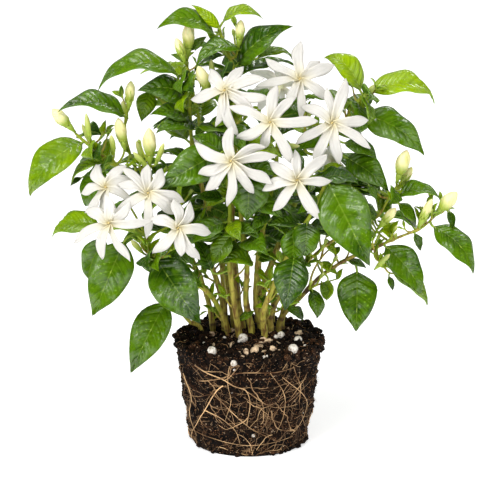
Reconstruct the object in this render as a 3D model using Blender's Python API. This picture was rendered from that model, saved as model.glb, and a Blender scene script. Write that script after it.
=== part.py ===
"""Jasmine lifted out of its pot: leafy stems, star blooms and buds over a bare, root-bound ball of soil.

Units are metres, +Z is up and the origin is the middle of the root ball's flat foot.
The side that the photograph shows faces -Y, with +X to its right.
"""

import math
import random

import bmesh
import bpy
from mathutils import Matrix, Vector, noise
from mathutils.bvhtree import BVHTree

MM = 0.001
GAP = 0.3 * MM                  # air between two touching pieces

# Root ball
BALL_HEIGHT = 66 * MM
BALL_TOP_RADIUS = 46.5 * MM
BALL_FOOT_RADIUS = 36 * MM
BALL_SIDES = 24
BALL_RINGS = 6
BALL_ROUGHNESS = 1.1 * MM
TOP_RINGS = (0.82, 0.45)        # rings of the soil's upper surface, as shares of its radius
SOIL_MOUND = 3.5 * MM           # how far the soil rises from the rim to the middle
SOIL_HOLE_DEPTH = 12 * MM
HOLE_SIDES = 6
STEM_FOOT = BALL_HEIGHT - SOIL_HOLE_DEPTH       # height of a stem's lower end, down in its hole
STEM_CLEAR = BALL_HEIGHT + SOIL_MOUND + 2 * MM  # up to here a stem stands upright, like its hole

# Perlite beads and bark chips on the soil: the pixel that each is seen at, and its radius in mm
GRIT = [(243, 339, 3.0), (212, 351, 3.0), (293, 349, 3.0), (281, 336, 2.4), (299, 341, 2.6), (234, 360, 2.0),
        (262, 357, 2.4), (252, 352, 2.2), (192, 340, 2.8), (310, 335, 2.8), (180, 334, 2.6), (275, 362, 2.6),
        (206, 364, 2.8)]
HIDDEN_GRIT = 3
GRIT_LEVEL = 0.6                # share of the mound's height at which the photograph's grains are placed

# Leaves, petals and buds
LEAF_THICKNESS = 0.7 * MM
PETIOLE_WIDTH = 1.5 * MM
LEAF_FOLD = math.radians(14)    # how far each half of a leaf rises from its midrib
LARGE_LEAF = 44 * MM            # a leaf over this length gets one more row of points
SMALL_LEAF = 19 * MM            # and one under this gets one less
PETAL_THICKNESS = 0.7 * MM
PETAL_WIDTH = 7.6 * MM
PETAL_LENGTHS = (17 * MM, 28 * MM)
PETAL_CURL = 1.5 * MM           # the middle of a petal stands this far up, and its tip as far down
PETAL_SPREAD = 0.94             # widest petal, as a share of the room between its neighbours
THROAT_RADIUS = 2.6 * MM
TUBE_LENGTH = 15 * MM
TUBE_RADII = (1.2 * MM, 1.5 * MM)
CALYX_LENGTH = 4 * MM
CALYX_RADII = (0.8 * MM, 2.0 * MM)
BUD_FOOT = 0.15                 # where a bud begins, as a share of the line between its pixels
BUD_RINGS = ((0.0, 0.42), (0.55, 1.0), (0.85, 0.66))    # shares of a bud's length and radius
GREEN_BUD_RADIUS = 2.0          # mm
TWIG_RADIUS = 0.75 * MM
TWIG_DROP = 6 * MM              # how far under a flower its twig leaves the stem
CLEARANCE = 0.5 * MM            # kept round a leaf, petal or twig when it is placed

# Roots on the outside of the ball
ROOT_RADII = (0.55 * MM, 0.95 * MM)
ROOT_LIFT = 0.35 * MM
ROOT_RINGS = (9, 40)            # heights of the two rings of roots, in mm
ROOT_RING_POINTS = 15
ROOT_RUNS = 9
ROOT_RUN_POINTS = 6
ROOT_RUN_HEIGHTS = (58, 4)      # mm

# The photograph, 485 by 494 pixels, is seen from 1.3 m away, looking 14 degrees down.
# One of its pixels is 0.62 mm at the plant's middle plane.
PIXEL = 0.62 * MM
VIEW_DISTANCE = 1300 * MM
VIEW_TILT = math.radians(14)
VIEW_MIDDLE = (242.5, 247.0)
VIEW_TARGET = Vector((-3.8, 0, 124.9)) * MM
FORWARD = Vector((0, math.cos(VIEW_TILT), -math.sin(VIEW_TILT)))
UPWARD = Vector((0, math.sin(VIEW_TILT), math.cos(VIEW_TILT)))
EYE = VIEW_TARGET - FORWARD * VIEW_DISTANCE

# Stems. Each has its foot on the soil (x and y in mm), its radii at foot and tip in mm, and the
# points that it runs through: pixel across, pixel down, and depth in mm behind the middle plane.
STEMS = {
    "stem_left_blooms": ((-13, -3), (1.7, 1.0), [
        (221, 312, -8), (207, 292, -18), (184, 277, -30), (163, 267, -38), (151, 255, -42),
        (146, 236, -43)]),
    "stem_left_buds": ((-15, 5), (1.7, 0.9), [
        (222, 300, 3), (213, 270, 1), (199, 240, -4), (180, 212, -8), (158, 194, -10), (136, 180, -12),
        (118, 167, -14), (100, 153, -14), (85, 142, -13), (76, 134, -12)]),
    "stem_upper_left": ((-9, 12), (1.9, 0.9), [
        (230, 296, 12), (221, 258, 11), (211, 220, 9), (200, 180, 6), (193, 150, 3), (190, 120, 1),
        (190, 95, 0), (188, 76, 0), (187, 62, 0)]),
    "stem_top": ((-4, 4), (2.2, 0.9), [
        (236, 296, 5), (233, 258, 5), (232, 218, 4), (233, 178, 4), (235, 138, 4), (235, 100, 3),
        (233, 68, 2), (227, 53, 2), (222, 38, 2), (219, 29, 2)]),
    "stem_centre_blooms": ((2, -5), (1.9, 1.0), [
        (246, 300, -8), (247, 265, -14), (243, 232, -20), (239, 200, -26), (236, 172, -28), (233, 140, -26),
        (230, 112, -20)]),
    "stem_centre_right": ((8, 3), (2.1, 1.0), [
        (256, 300, 0), (258, 262, -5), (263, 230, -11), (270, 198, -18), (276, 168, -22), (277, 142, -24)]),
    "stem_right_top": ((12, 12), (2.0, 0.9), [
        (263, 292, 11), (273, 260, 9), (286, 226, 7), (300, 192, 5), (315, 162, 3), (332, 137, 1),
        (346, 119, 0), (353, 108, -1), (361, 99, -2), (367, 94, -2)]),
    "stem_right_buds": ((14, -3), (1.7, 0.9), [
        (272, 312, -6), (287, 285, -9), (307, 262, -11), (331, 242, -11), (356, 229, -10), (377, 217, -10),
        (388, 200, -10), (398, 184, -10)]),
    "stem_right_low": ((19, 3), (1.9, 0.8), [
        (284, 314, 1), (301, 297, 0), (321, 276, -2), (348, 259, -6), (375, 248, -10), (392, 240, -12),
        (410, 233, -14), (420, 229, -14), (430, 221, -14), (436, 214, -14)]),
    "stem_front_right": ((10, -10), (1.9, 1.1), [
        (263, 314, -16), (272, 290, -22), (285, 262, -28), (300, 235, -34), (314, 208, -38),
        (325, 186, -40)]),
    "stem_front_left": ((-6, -10), (1.9, 1.1), [
        (235, 310, -16), (231, 280, -20), (229, 250, -24), (230, 222, -27), (229, 192, -30),
        (225, 162, -32)]),
    "stem_low_left": ((-30, 2), (1.3, 1.0), [
        (190, 322, -4), (182, 313, -10), (175, 306, -14), (168, 302, -16)]),
}

# Side twigs: the stem they leave and the points they run through
TWIGS = [
    ("stem_left_buds", [(152, 186, -12), (150, 172, -14), (150, 163, -16)]),
    ("stem_left_buds", [(136, 170, -8), (128, 148, -6), (125, 126, -5), (128, 106, -4)]),
    ("stem_upper_left", [(180, 116, 3), (166, 104, 6), (153, 95, 8)]),
    ("stem_top", [(236, 56, 1), (239, 46, 0)]),
    ("stem_right_top", [(305, 150, -4), (305, 122, -8), (304, 104, -10)]),
    ("stem_right_low", [(376, 258, -14), (382, 262, -15)]),
]

# Leaves: the stem, the pixels of base and tip, how far the tip stands behind the base in mm,
# the width in mm, how far the face turns from the sky (0) to the viewer (1), and the arch in mm.
LEAVES = [
    ("stem_front_right", (329, 184), (370, 267), -16, 32, 1.0, 3),
    ("stem_left_blooms", (157, 260), (201, 325), -14, 30, 1.0, 4),
    ("stem_left_blooms", (124, 242), (92, 318), -8, 28, 0.95, 4),
    ("stem_right_low", (357, 272), (356, 333), -14, 26, 1.0, 4),
    ("stem_low_left", (166, 303), (130, 375), -14, 25, 0.75, 6),
    ("stem_front_left", (222, 152), (157, 189), -18, 25, 0.85, 4),
    ("stem_left_buds", (82, 143), (27, 198), -12, 24, 0.55, 11),
    ("stem_upper_left", (177, 74), (94, 89), -14, 24, 0.3, 13),
    ("stem_right_top", (361, 114), (427, 155), -14, 25, 0.45, 6),
    ("stem_right_top", (371, 92), (438, 103), 8, 22, 0.4, 11),
    ("stem_right_top", (360, 90), (322, 56), 10, 18, 0.4, 9),
    ("stem_top", (238, 64), (292, 24), -12, 22, 0.5, 5),
    ("stem_top", (214, 35), (155, 27), -10, 20, 0.4, 10),
    ("stem_top", (240, 50), (194, 66), -14, 18, 0.25, 8),
    ("stem_top", (223, 22), (264, 17), -10, 12, 0.4, 7),
    ("stem_top", (219, 28), (192, 4), 2, 8, 0.6, 1),
    ("stem_top", (258, 58), (296, 62), 12, 12, 0.2, 6),
    ("stem_left_buds", (124, 116), (56, 109), -12, 23, 0.35, 8),
    ("stem_upper_left", (187, 94), (137, 89), -16, 21, 0.6, 4),
    ("stem_upper_left", (150, 92), (141, 122), -8, 13, 0.8, 2),
    ("stem_upper_left", (189, 116), (150, 113), -14, 16, 0.5, 3),
    ("stem_upper_left", (194, 124), (155, 132), -20, 16, 0.5, 4),
    ("stem_left_buds", (108, 162), (69, 184), -6, 12, 0.2, 5),
    ("stem_left_buds", (104, 170), (84, 208), 6, 18, 0.8, 3),
    ("stem_left_blooms", (98, 224), (50, 236), 8, 19, 0.45, 6),
    ("stem_left_blooms", (104, 238), (90, 284), 10, 20, 0.7, 3),
    ("stem_left_blooms", (167, 256), (195, 262), 6, 13, 0.5, 3),
    ("stem_front_left", (211, 270), (193, 236), 4, 13, 0.5, 3),
    ("stem_front_left", (222, 154), (190, 136), 6, 14, 0.4, 4),
    ("stem_front_left", (250, 172), (247, 222), -8, 27, 0.95, 3),
    ("stem_centre_blooms", (252, 262), (222, 262), -8, 15, 0.5, 4),
    ("stem_front_left", (230, 236), (212, 266), 2, 14, 0.7, 3),
    ("stem_centre_right", (259, 260), (278, 258), -2, 8, 0.5, 2),
    ("stem_front_right", (295, 229), (292, 262), 4, 17, 0.8, 4),
    ("stem_front_right", (307, 223), (305, 258), -4, 18, 0.8, 4),
    ("stem_front_right", (294, 258), (285, 311), -14, 23, 1.0, 3),
    ("stem_centre_right", (268, 304), (258, 296), -4, 6, 0.5, 1),
    ("stem_right_low", (292, 308), (303, 321), 4, 8, 0.5, 2),
    ("stem_right_low", (310, 289), (317, 319), 6, 9, 0.4, 5),
    ("stem_right_low", (328, 280), (326, 301), 4, 9, 0.6, 2),
    ("stem_right_low", (386, 247), (423, 296), -10, 21, 0.6, 7),
    ("stem_right_low", (390, 268), (430, 307), -4, 14, 0.35, 5),
    ("stem_right_low", (434, 227), (476, 275), -10, 20, 0.4, 7),
    ("stem_right_buds", (398, 196), (442, 198), -6, 15, 0.35, 6),
    ("stem_right_buds", (400, 204), (415, 224), 4, 9, 0.5, 2),
    ("stem_right_low", (416, 236), (420, 251), 4, 7, 0.5, 1),
    ("stem_right_top", (347, 158), (390, 191), -14, 20, 0.7, 4),
    ("stem_right_top", (345, 143), (378, 158), -4, 15, 0.4, 3),
    ("stem_front_right", (322, 178), (360, 184), 8, 15, 0.4, 4),
    ("stem_right_buds", (362, 205), (376, 222), -8, 9, 0.5, 2),
    ("stem_right_top", (350, 128), (362, 142), -6, 8, 0.6, 1),
    ("stem_right_low", (448, 212), (454, 229), 0, 5, 0.6, 1),
    ("stem_upper_left", (187, 62), (170, 54), 2, 5, 0.5, 1),
    ("stem_upper_left", (191, 50), (207, 36), 0, 6, 0.6, 1),
]

# Blooms: the stem, the pixel and depth of the throat, the way it faces, and the pixels of its petal tips
BLOOMS = {
    "bloom_1": ("stem_centre_blooms", (225, 90), -36, (-0.35, -0.9, 0.25), [
        (190, 102), (217, 127), (233, 138), (256, 116), (268, 99), (262, 75), (240, 68), (213, 78)]),
    "bloom_2": ("stem_right_top", (300, 79), -24, (0.0, -0.8, 0.45), [
        (298, 38), (318, 60), (335, 61), (330, 98), (303, 116), (286, 106), (256, 82), (264, 60)]),
    "bloom_3": ("stem_centre_right", (270, 122), -46, (-0.1, -1.0, 0.15), [
        (274, 85), (229, 105), (236, 140), (262, 148), (293, 168), (318, 121), (293, 97)]),
    "bloom_4": ("stem_right_top", (332, 123), -34, (0.15, -0.95, 0.2), [
        (350, 79), (369, 121), (375, 150), (342, 164), (310, 172), (295, 141), (304, 104), (326, 88)]),
    "bloom_5": ("stem_front_left", (231, 161), -56, (-0.05, -1.0, 0.05), [
        (229, 127), (193, 147), (197, 174), (208, 194), (229, 208), (252, 196), (275, 183), (277, 156),
        (264, 144)]),
    "bloom_6": ("stem_centre_right", (297, 180), -52, (0.05, -1.0, 0.1), [
        (298, 151), (329, 157), (332, 184), (319, 221), (275, 213), (262, 188), (270, 163)]),
    "bloom_7": ("stem_left_blooms", (106, 187), -48, (-0.3, -0.85, 0.35), [
        (98, 172), (119, 168), (127, 182), (126, 198), (112, 212), (99, 216), (84, 214), (83, 190)]),
    "bloom_8": ("stem_left_blooms", (148, 193), -56, (0.1, -0.9, 0.3), [
        (125, 166), (147, 174), (162, 172), (185, 199), (176, 215), (148, 238), (115, 214), (118, 183)]),
    "bloom_9": ("stem_left_blooms", (109, 223), -66, (-0.25, -0.95, 0.1), [
        (70, 242), (97, 260), (129, 262), (149, 223), (127, 207), (108, 201), (91, 212)]),
    "bloom_10": ("stem_left_blooms", (178, 228), -64, (0.2, -0.95, 0.15), [
        (193, 206), (176, 207), (151, 218), (154, 254), (181, 245), (200, 262), (213, 234)]),
}

# Cream buds: the stem, the pixels of base and tip, the depth of the base and the widest radius in mm
BUDS = {
    "bud_1": ("stem_left_buds", (71, 128), (52, 109), -14, 4.3),
    "bud_2": ("stem_upper_left", (188, 53), (189, 21), -2, 4.2),
    "bud_3": ("stem_left_buds", (150, 160), (149, 128), -20, 4.6),
    "bud_4": ("stem_left_buds", (129, 104), (131, 81), -8, 3.4),
    "bud_5": ("stem_left_buds", (124, 146), (118, 118), -16, 4.0),
    "bud_6": ("stem_top", (239, 42), (241, 20), -2, 3.3),
    "bud_7": ("stem_right_buds", (398, 178), (407, 150), -14, 4.8),
    "bud_8": ("stem_right_low", (438, 212), (457, 192), -16, 4.8),
    "bud_9": ("stem_upper_left", (209, 92), (198, 66), -18, 4.2),
    "bud_10": ("stem_upper_left", (183, 57), (176, 38), -8, 2.9),
    "bud_11": ("stem_right_buds", (382, 224), (396, 208), -18, 3.2),
    "bud_12": ("stem_right_low", (421, 222), (432, 199), -20, 3.0),
    "bud_13": ("stem_right_buds", (402, 184), (412, 167), -4, 2.8),
}

# Small green buds, fused to their stems: the stem, the pixels of base and tip, and the depth
GREEN_BUDS = [
    ("stem_left_buds", (90, 142), (86, 113), -20),
    ("stem_left_buds", (92, 146), (82, 124), -6),
    ("stem_left_buds", (98, 160), (91, 149), -20),
    ("stem_left_buds", (114, 152), (111, 135), -20),
    ("stem_left_buds", (146, 166), (136, 141), -8),
    ("stem_left_buds", (148, 168), (133, 152), -20),
    ("stem_left_buds", (156, 164), (164, 143), -22),
    ("stem_left_buds", (127, 116), (122, 101), -2),
    ("stem_top", (213, 78), (211, 59), -6),
    ("stem_right_buds", (380, 232), (396, 222), -4),
    ("stem_right_low", (376, 268), (390, 254), -22),
    ("stem_left_blooms", (142, 252), (131, 240), -50),
    ("stem_centre_right", (279, 146), (300, 146), -30),
    ("stem_right_top", (364, 98), (376, 84), -8),
]

# The sides and back, which the photograph hides: one stem for each bearing in degrees, seen from
# above and counted from +X, with its reach outwards and its height in mm
HIDDEN_STEMS = [(30, 48, 92), (52, 42, 88), (76, 36, 136), (104, 46, 92), (128, 36, 152), (160, 48, 92)]
HIDDEN_RADII = (1.8, 0.9)       # mm, at foot and tip
# Leaves at the back of the stems that the photograph shows: the stem, and how far up it they grow
BACK_LEAVES = {
    "stem_left_buds": (0.45, 0.6, 0.75),
    "stem_upper_left": (0.5, 0.62, 0.74, 0.86),
    "stem_top": (0.5, 0.6, 0.7, 0.8, 0.9),
    "stem_centre_blooms": (0.7, 0.9),
    "stem_centre_right": (0.7, 0.9),
    "stem_right_top": (0.5, 0.62, 0.74, 0.86),
    "stem_right_buds": (0.6, 0.8),
}
BACK_BEARINGS = (35, 145)       # degrees
HIDDEN_BLOOM_BEARINGS = (52, 76, 104)
HIDDEN_BLOOM_REACH = 24         # mm outwards from the stem's tip
HIDDEN_BLOOM_RISE = 4           # mm
HIDDEN_PETALS = 8
HIDDEN_PETAL_LENGTH = 22        # mm
HIDDEN_LEVELS = 5
HIDDEN_FOOT_RADIUS = 24 * MM
HIDDEN_LEAF_LENGTHS = (34, 48)  # mm
HIDDEN_LEAF_WIDTH = 0.54        # share of its length
HIDDEN_STALK = 6 * MM
HIDDEN_DROOP = 0.22
LEAF_TURN = math.radians(90)    # each pair of leaves stands across the one below it
CROWN_MIDDLE = Vector((243, 168))   # pixel: the hidden leaves stay inside this oval of the outline
CROWN_RADII = (158, 128)        # pixels
# Places where the photograph sees through between the stems: left, top, right and bottom pixel
OPEN_WINDOWS = [(206, 262, 292, 330), (300, 238, 345, 300)]
DEPTH_SHIFTS = (0, -4, 4, -8, 8, -12, 12, -17, 17, -22, 22, -28, 28)    # mm, tried in turn
BEARING_SHIFTS = (0, 18, -18, 36, -36, 54, -54)                         # degrees, tried in turn
SIZE_TRIES = (1.0, 0.85, 0.7)

COLOURS = {
    "soil": (0.045, 0.026, 0.016, 0.95),
    "root": (0.46, 0.29, 0.15, 0.8),
    "leaf": (0.075, 0.2, 0.018, 0.35),
    "petal": (0.86, 0.84, 0.8, 0.45),
    "bud": (0.8, 0.76, 0.42, 0.45),
}


def at(across, down, depth):
    """Point seen at a pixel of the photograph, at a depth in mm behind the middle plane."""
    ray = (FORWARD * (VIEW_DISTANCE / PIXEL) + Vector((across - VIEW_MIDDLE[0], 0, 0))
           - UPWARD * (down - VIEW_MIDDLE[1]))
    return EYE + ray * ((depth * MM - EYE.y) / ray.y)


def seen(point):
    """Pixel of the photograph at which a point is seen."""
    away = point - EYE
    scale = VIEW_DISTANCE / PIXEL / away.dot(FORWARD)
    return Vector((VIEW_MIDDLE[0] + away.x * scale, VIEW_MIDDLE[1] - away.dot(UPWARD) * scale))


def square_to(direction, line):
    """Unit vector along `direction` with its share along `line` taken out."""
    line = line.normalized()
    return (direction - line * direction.dot(line)).normalized()


def bow(start, end, middle, share):
    """Point at a share of the bent line from start to end, pulled towards `middle`."""
    return start * (1 - share) ** 2 + middle * 2 * share * (1 - share) + end * share ** 2


def nearest_on(path, point, flat=False):
    """Nearest point of a path of points, as seen by the viewer if `flat`."""
    best, best_distance = None, math.inf
    for start, end in zip(path, path[1:]):
        for step in range(9):
            spot = start.lerp(end, step / 8)
            distance = (seen(spot) - point).length if flat else (spot - point).length
            if distance < best_distance:
                best, best_distance = spot, distance
    return best


def stand(at_point, direction):
    """Matrix that stands a shape's Z axis along a direction, with its foot on a point."""
    return Matrix.Translation(at_point) @ direction.to_track_quat("Z", "Y").to_matrix().to_4x4()


def blade(mesh, rows):
    """Sheet of three columns into a bmesh: each row is its middle, its half width and its edges' rise."""
    count = len(rows) - 1
    made = bmesh.ops.create_grid(mesh, x_segments=2, y_segments=count, size=1)["verts"]
    for vert in made:
        column = round(vert.co.x)
        middle, half, rise = rows[round((vert.co.y + 1) / 2 * count)]
        vert.co = middle + half * column + rise * abs(column)
    bmesh.ops.remove_doubles(mesh, verts=made, dist=1e-7)


def thicken(mesh, thickness):
    """Turn a sheet into a closed solid, split into triangles alike on both faces."""
    bmesh.ops.triangulate(mesh, faces=mesh.faces)
    mesh.normal_update()
    bmesh.ops.solidify(mesh, geom=mesh.faces[:], thickness=thickness)
    bmesh.ops.triangulate(mesh, faces=mesh.faces)
    bmesh.ops.recalc_face_normals(mesh, faces=mesh.faces)
    return mesh


def leaf_width(share):
    """Half width of a leaf along its length: egg-shaped with a drawn-out tip."""
    return math.sin(math.pi * share ** 0.72) * (1 - 0.45 * share ** 4)


def leaf_mesh(leaf, grow=0.0, whole=True):
    """Solid of a leaf with its stalk, or of its blade alone."""
    base, tip, up = leaf["base"], leaf["tip"], leaf["up"]
    side = (tip - base).cross(up).normalized()
    middle = (base + tip) / 2 + up * leaf["arch"] * 2
    length = (tip - base).length
    shares = (0.17, 0.42, 0.74) if length > LARGE_LEAF else (0.3, 0.68) if length > SMALL_LEAF else (0.4,)
    stalk = side * (PETIOLE_WIDTH / 2 + grow)
    rows = [(leaf["root"], stalk, Vector())] if whole else []
    rows.append((base, stalk, Vector()))
    for share in shares:
        half = leaf["width"] / 2 * leaf_width(share) + grow
        rise = up * half * math.sin(LEAF_FOLD)
        rows.append((bow(base, tip, middle, share), side * half * math.cos(LEAF_FOLD), rise))
    rows.append((tip, Vector(), Vector()))
    mesh = bmesh.new()
    blade(mesh, rows)
    shift = up * (LEAF_THICKNESS / 2 + grow)
    for vert in mesh.verts:
        vert.co += shift
    return thicken(mesh, LEAF_THICKNESS + 2 * grow)


def bloom_mesh(bloom, grow=0.0):
    """Solid of a star of petals round a flat throat."""
    throat, axis = bloom["throat"], bloom["axis"]
    across = square_to(Vector((1, 0, 0)), axis)
    up = axis.cross(across)
    petals = []
    for tip in bloom["tips"]:
        flat = tip - throat
        petals.append((math.atan2(flat.dot(up), flat.dot(across)) % math.tau, tip))
    petals.sort(key=lambda petal: petal[0])
    mesh = bmesh.new()
    for index, (angle, tip) in enumerate(petals):
        before = (angle - petals[index - 1][0]) % math.tau / 2
        after = (petals[(index + 1) % len(petals)][0] - angle) % math.tau / 2
        ring = [throat + (across * math.cos(turn) + up * math.sin(turn)) * THROAT_RADIUS
                for turn in (angle - before, angle, angle + after)]
        middle = throat.lerp(tip, 0.5) + axis * bloom["curl"]
        room = (middle - throat).length * math.sin(min(before, after, math.pi / 2)) * PETAL_SPREAD
        half = axis.cross(tip - throat).normalized() * (min(PETAL_WIDTH / 2, room) + grow)
        rows = [(throat, throat, throat), ring, (middle - half, middle, middle + half), (tip, tip, tip)]
        made = bmesh.ops.create_grid(mesh, x_segments=2, y_segments=3, size=1)["verts"]
        for vert in made:
            vert.co = rows[round((vert.co.y + 1) / 2 * 3)][round(vert.co.x) + 1]
    bmesh.ops.remove_doubles(mesh, verts=mesh.verts, dist=1e-6)
    for vert in mesh.verts:
        vert.co -= axis * (PETAL_THICKNESS / 2 + grow)
    return thicken(mesh, PETAL_THICKNESS + 2 * grow)


def turned_mesh(foot, direction, profile, sides):
    """Solid turned from (height, radius) rings between a middle point at each end."""
    mesh = bmesh.new()
    bmesh.ops.create_uvsphere(mesh, u_segments=sides, v_segments=len(profile) + 1, radius=1)
    levels = sorted({round(vert.co.z, 4) for vert in mesh.verts})
    rings = [(profile[0][0], 0.0)] + list(profile) + [(profile[-1][0], 0.0)]
    for vert in mesh.verts:
        height, radius = rings[levels.index(round(vert.co.z, 4))]
        flat = Vector((vert.co.x, vert.co.y, 0))
        if flat.length > 1e-6:
            flat = flat.normalized() * radius
        vert.co = flat + Vector((0, 0, height))
    mesh.transform(stand(foot, direction))
    return mesh


def bud_mesh(bud, grow=0.0):
    """Solid of a bud: a narrow flat foot, a swollen middle and a blunt tip."""
    length, radius = bud["length"], bud["radius"] + grow
    profile = [(length * along, radius * wide) for along, wide in BUD_RINGS]
    mesh = turned_mesh(bud["foot"], bud["axis"], profile, bud["sides"])
    tip = bud["foot"] + bud["axis"] * profile[-1][0]
    for vert in mesh.verts:
        if (vert.co - tip).length < 1e-6:
            vert.co = bud["foot"] + bud["axis"] * length
    bmesh.ops.recalc_face_normals(mesh, faces=mesh.faces)
    return mesh


def tube_mesh(points, radii, corners):
    """Closed tube along points, from a curve whose caps are welded."""
    curve = bpy.data.curves.new("tube", "CURVE")
    curve.dimensions = "3D"
    curve.bevel_depth = 1.0
    curve.bevel_resolution = corners
    curve.use_fill_caps = True
    spline = curve.splines.new("POLY")
    spline.points.add(len(points) - 1)
    for knot, point, radius in zip(spline.points, points, radii):
        knot.co = (*point, 1)
        knot.radius = radius
    holder = bpy.data.objects.new("tube", curve)
    bpy.context.collection.objects.link(holder)
    made = bpy.data.meshes.new_from_object(holder.evaluated_get(bpy.context.evaluated_depsgraph_get()))
    bpy.data.objects.remove(holder)
    bpy.data.curves.remove(curve)
    mesh = bmesh.new()
    mesh.from_mesh(made)
    bpy.data.meshes.remove(made)
    bmesh.ops.remove_doubles(mesh, verts=mesh.verts, dist=1e-6)
    bmesh.ops.recalc_face_normals(mesh, faces=mesh.faces)
    return mesh


class Room:
    """What is placed so far, so that each later leaf, petal or twig is bent clear of it."""

    def __init__(self):
        self.taken = []

    def take(self, node, mesh, kind=""):
        low = [min(vert.co[axis] for vert in mesh.verts) for axis in range(3)]
        high = [max(vert.co[axis] for vert in mesh.verts) for axis in range(3)]
        self.taken.append((node, kind, BVHTree.FromBMesh(mesh), low, high))

    def near(self, low, high):
        return [row for row in self.taken
                if all(row[3][axis] < high[axis] and row[4][axis] > low[axis] for axis in range(3))]

    def clear(self, node, mesh, own_kind=None):
        """Whether a mesh crosses no other node's, nor its own node's pieces of one kind."""
        low = [min(vert.co[axis] for vert in mesh.verts) for axis in range(3)]
        high = [max(vert.co[axis] for vert in mesh.verts) for axis in range(3)]
        tree = BVHTree.FromBMesh(mesh)
        for owner, kind, other, _, _ in self.near(low, high):
            if owner == node and kind != own_kind:
                continue
            if tree.overlap(other):
                return False
        return True

    def clear_line(self, node, points, radius):
        """Whether a thin twig along points stays clear of every other node."""
        for start, end in zip(points, points[1:]):
            steps = max(1, int((end - start).length / MM))
            for step in range(steps + 1):
                spot = start.lerp(end, step / steps)
                low = [value - radius for value in spot]
                high = [value + radius for value in spot]
                for owner, _, other, _, _ in self.near(low, high):
                    if owner != node and other.find_nearest(spot, radius)[0] is not None:
                        return False
        return True


def stem_paths():
    """Points and radii of every stem and twig, the hidden ones too."""
    paths = {}
    for name, (foot, radii, marks) in STEMS.items():
        ground = Vector((foot[0], foot[1], 0)) * MM
        path = [ground + Vector((0, 0, height)) for height in (STEM_FOOT, STEM_CLEAR)]
        path += [at(*mark) for mark in marks]
        paths[name] = [(path, radii)]
    for index, (bearing, reach, height) in enumerate(HIDDEN_STEMS):
        turn = math.radians(bearing)
        outward = Vector((math.cos(turn), math.sin(turn), 0))
        ground = outward * HIDDEN_FOOT_RADIUS
        path = [ground + Vector((0, 0, STEM_FOOT))]
        for step in range(6):
            share = step / 5
            rise = STEM_CLEAR + height * MM * share
            path.append(ground + outward * reach * MM * share ** 1.6 + Vector((0, 0, rise)))
        paths[f"stem_hidden_{index + 1}"] = [(path, HIDDEN_RADII)]
    for name, marks in TWIGS:
        twig = [at(*mark) for mark in marks]
        start = nearest_on(paths[name][0][0], twig[0])
        paths[name].append(([start] + twig, (TWIG_RADIUS / MM * 1.3, TWIG_RADIUS / MM)))
    return paths


def stalk_points(paths, node, end, arriving):
    """Bent twig from a node's nearest stem to a point, which it reaches along a direction."""
    below = end - Vector((0, 0, TWIG_DROP))
    start = min((nearest_on(path, below) for path, _ in paths[node]), key=lambda spot: (spot - below).length)
    middle = end - arriving * (end - start).length * 0.5
    return [bow(start, end, middle, share / 3) for share in range(4)]


def place_bloom(room, paths, node, name, bloom):
    """Give a bloom its twig and calyx, and keep them if they are clear."""
    seat = bloom["throat"] - bloom["axis"] * TUBE_LENGTH
    foot = seat - bloom["axis"] * (GAP + CALYX_LENGTH)
    twig = stalk_points(paths, node, foot + bloom["axis"] * CALYX_LENGTH * 0.5, bloom["axis"])
    if not room.clear(name, bloom_mesh(bloom, CLEARANCE)):
        return None
    if not room.clear_line(node, [foot, bloom["throat"]], CALYX_RADII[1] + GAP):
        return None
    if not room.clear_line(node, twig, TWIG_RADIUS + CLEARANCE):
        return None
    room.take(name, bloom_mesh(bloom))
    room.take(name, tube_mesh([seat, bloom["throat"]], [TUBE_RADII[1]] * 2, 1))
    room.take(node, tube_mesh([foot, foot + bloom["axis"] * CALYX_LENGTH], [CALYX_RADII[1]] * 2, 1))
    room.take(node, tube_mesh(twig, [TWIG_RADIUS] * len(twig), 0))
    return {**bloom, "node": node, "name": name, "seat": seat, "calyx": foot, "twig": twig}


def place_bud(room, paths, node, name, bud):
    """Give a bud its twig and calyx, and keep them if they are clear."""
    gap = GAP if name != node else -CALYX_LENGTH * 0.4
    foot = bud["foot"] - bud["axis"] * (gap + CALYX_LENGTH)
    twig = stalk_points(paths, node, foot + bud["axis"] * CALYX_LENGTH * 0.5, bud["axis"])
    if not room.clear(name, bud_mesh(bud, CLEARANCE)):
        return None
    if not room.clear_line(node, [foot, bud["foot"] - bud["axis"] * gap], CALYX_RADII[1] + GAP):
        return None
    if not room.clear_line(node, twig, TWIG_RADIUS + CLEARANCE):
        return None
    room.take(name, bud_mesh(bud))
    room.take(node, tube_mesh([foot, foot + bud["axis"] * CALYX_LENGTH], [CALYX_RADII[1]] * 2, 1))
    room.take(node, tube_mesh(twig, [TWIG_RADIUS] * len(twig), 0))
    return {**bud, "node": node, "name": name, "calyx": foot, "twig": twig}


def place_leaf(room, node, leaf):
    """Keep a leaf if it is clear of the other nodes and of its own node's leaves."""
    if not room.clear(node, leaf_mesh(leaf, CLEARANCE)):
        return False
    blade_only = leaf_mesh(leaf, 0.0, whole=False)
    if not room.clear(node, blade_only, own_kind="leaf"):
        return False
    room.take(node, leaf_mesh(leaf))
    room.take(node, blade_only, "leaf")
    return True


def photo_bloom(row, shift):
    """Bloom of the table, with each petal tip on its pixel and a length that a petal has."""
    stem, middle, depth, facing, tips = row
    throat = at(*middle, depth + shift)
    axis = Vector(facing).normalized()
    ends = []
    for tip in tips:
        ray = at(*tip, 0) - EYE
        end = EYE + ray * ((throat - EYE).dot(axis) / ray.dot(axis))
        flat = end - throat
        length = min(max(flat.length, PETAL_LENGTHS[0]), PETAL_LENGTHS[1])
        ends.append(throat + flat.normalized() * length - axis * PETAL_CURL)
    return {"throat": throat, "axis": axis, "tips": ends, "curl": PETAL_CURL}


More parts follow.
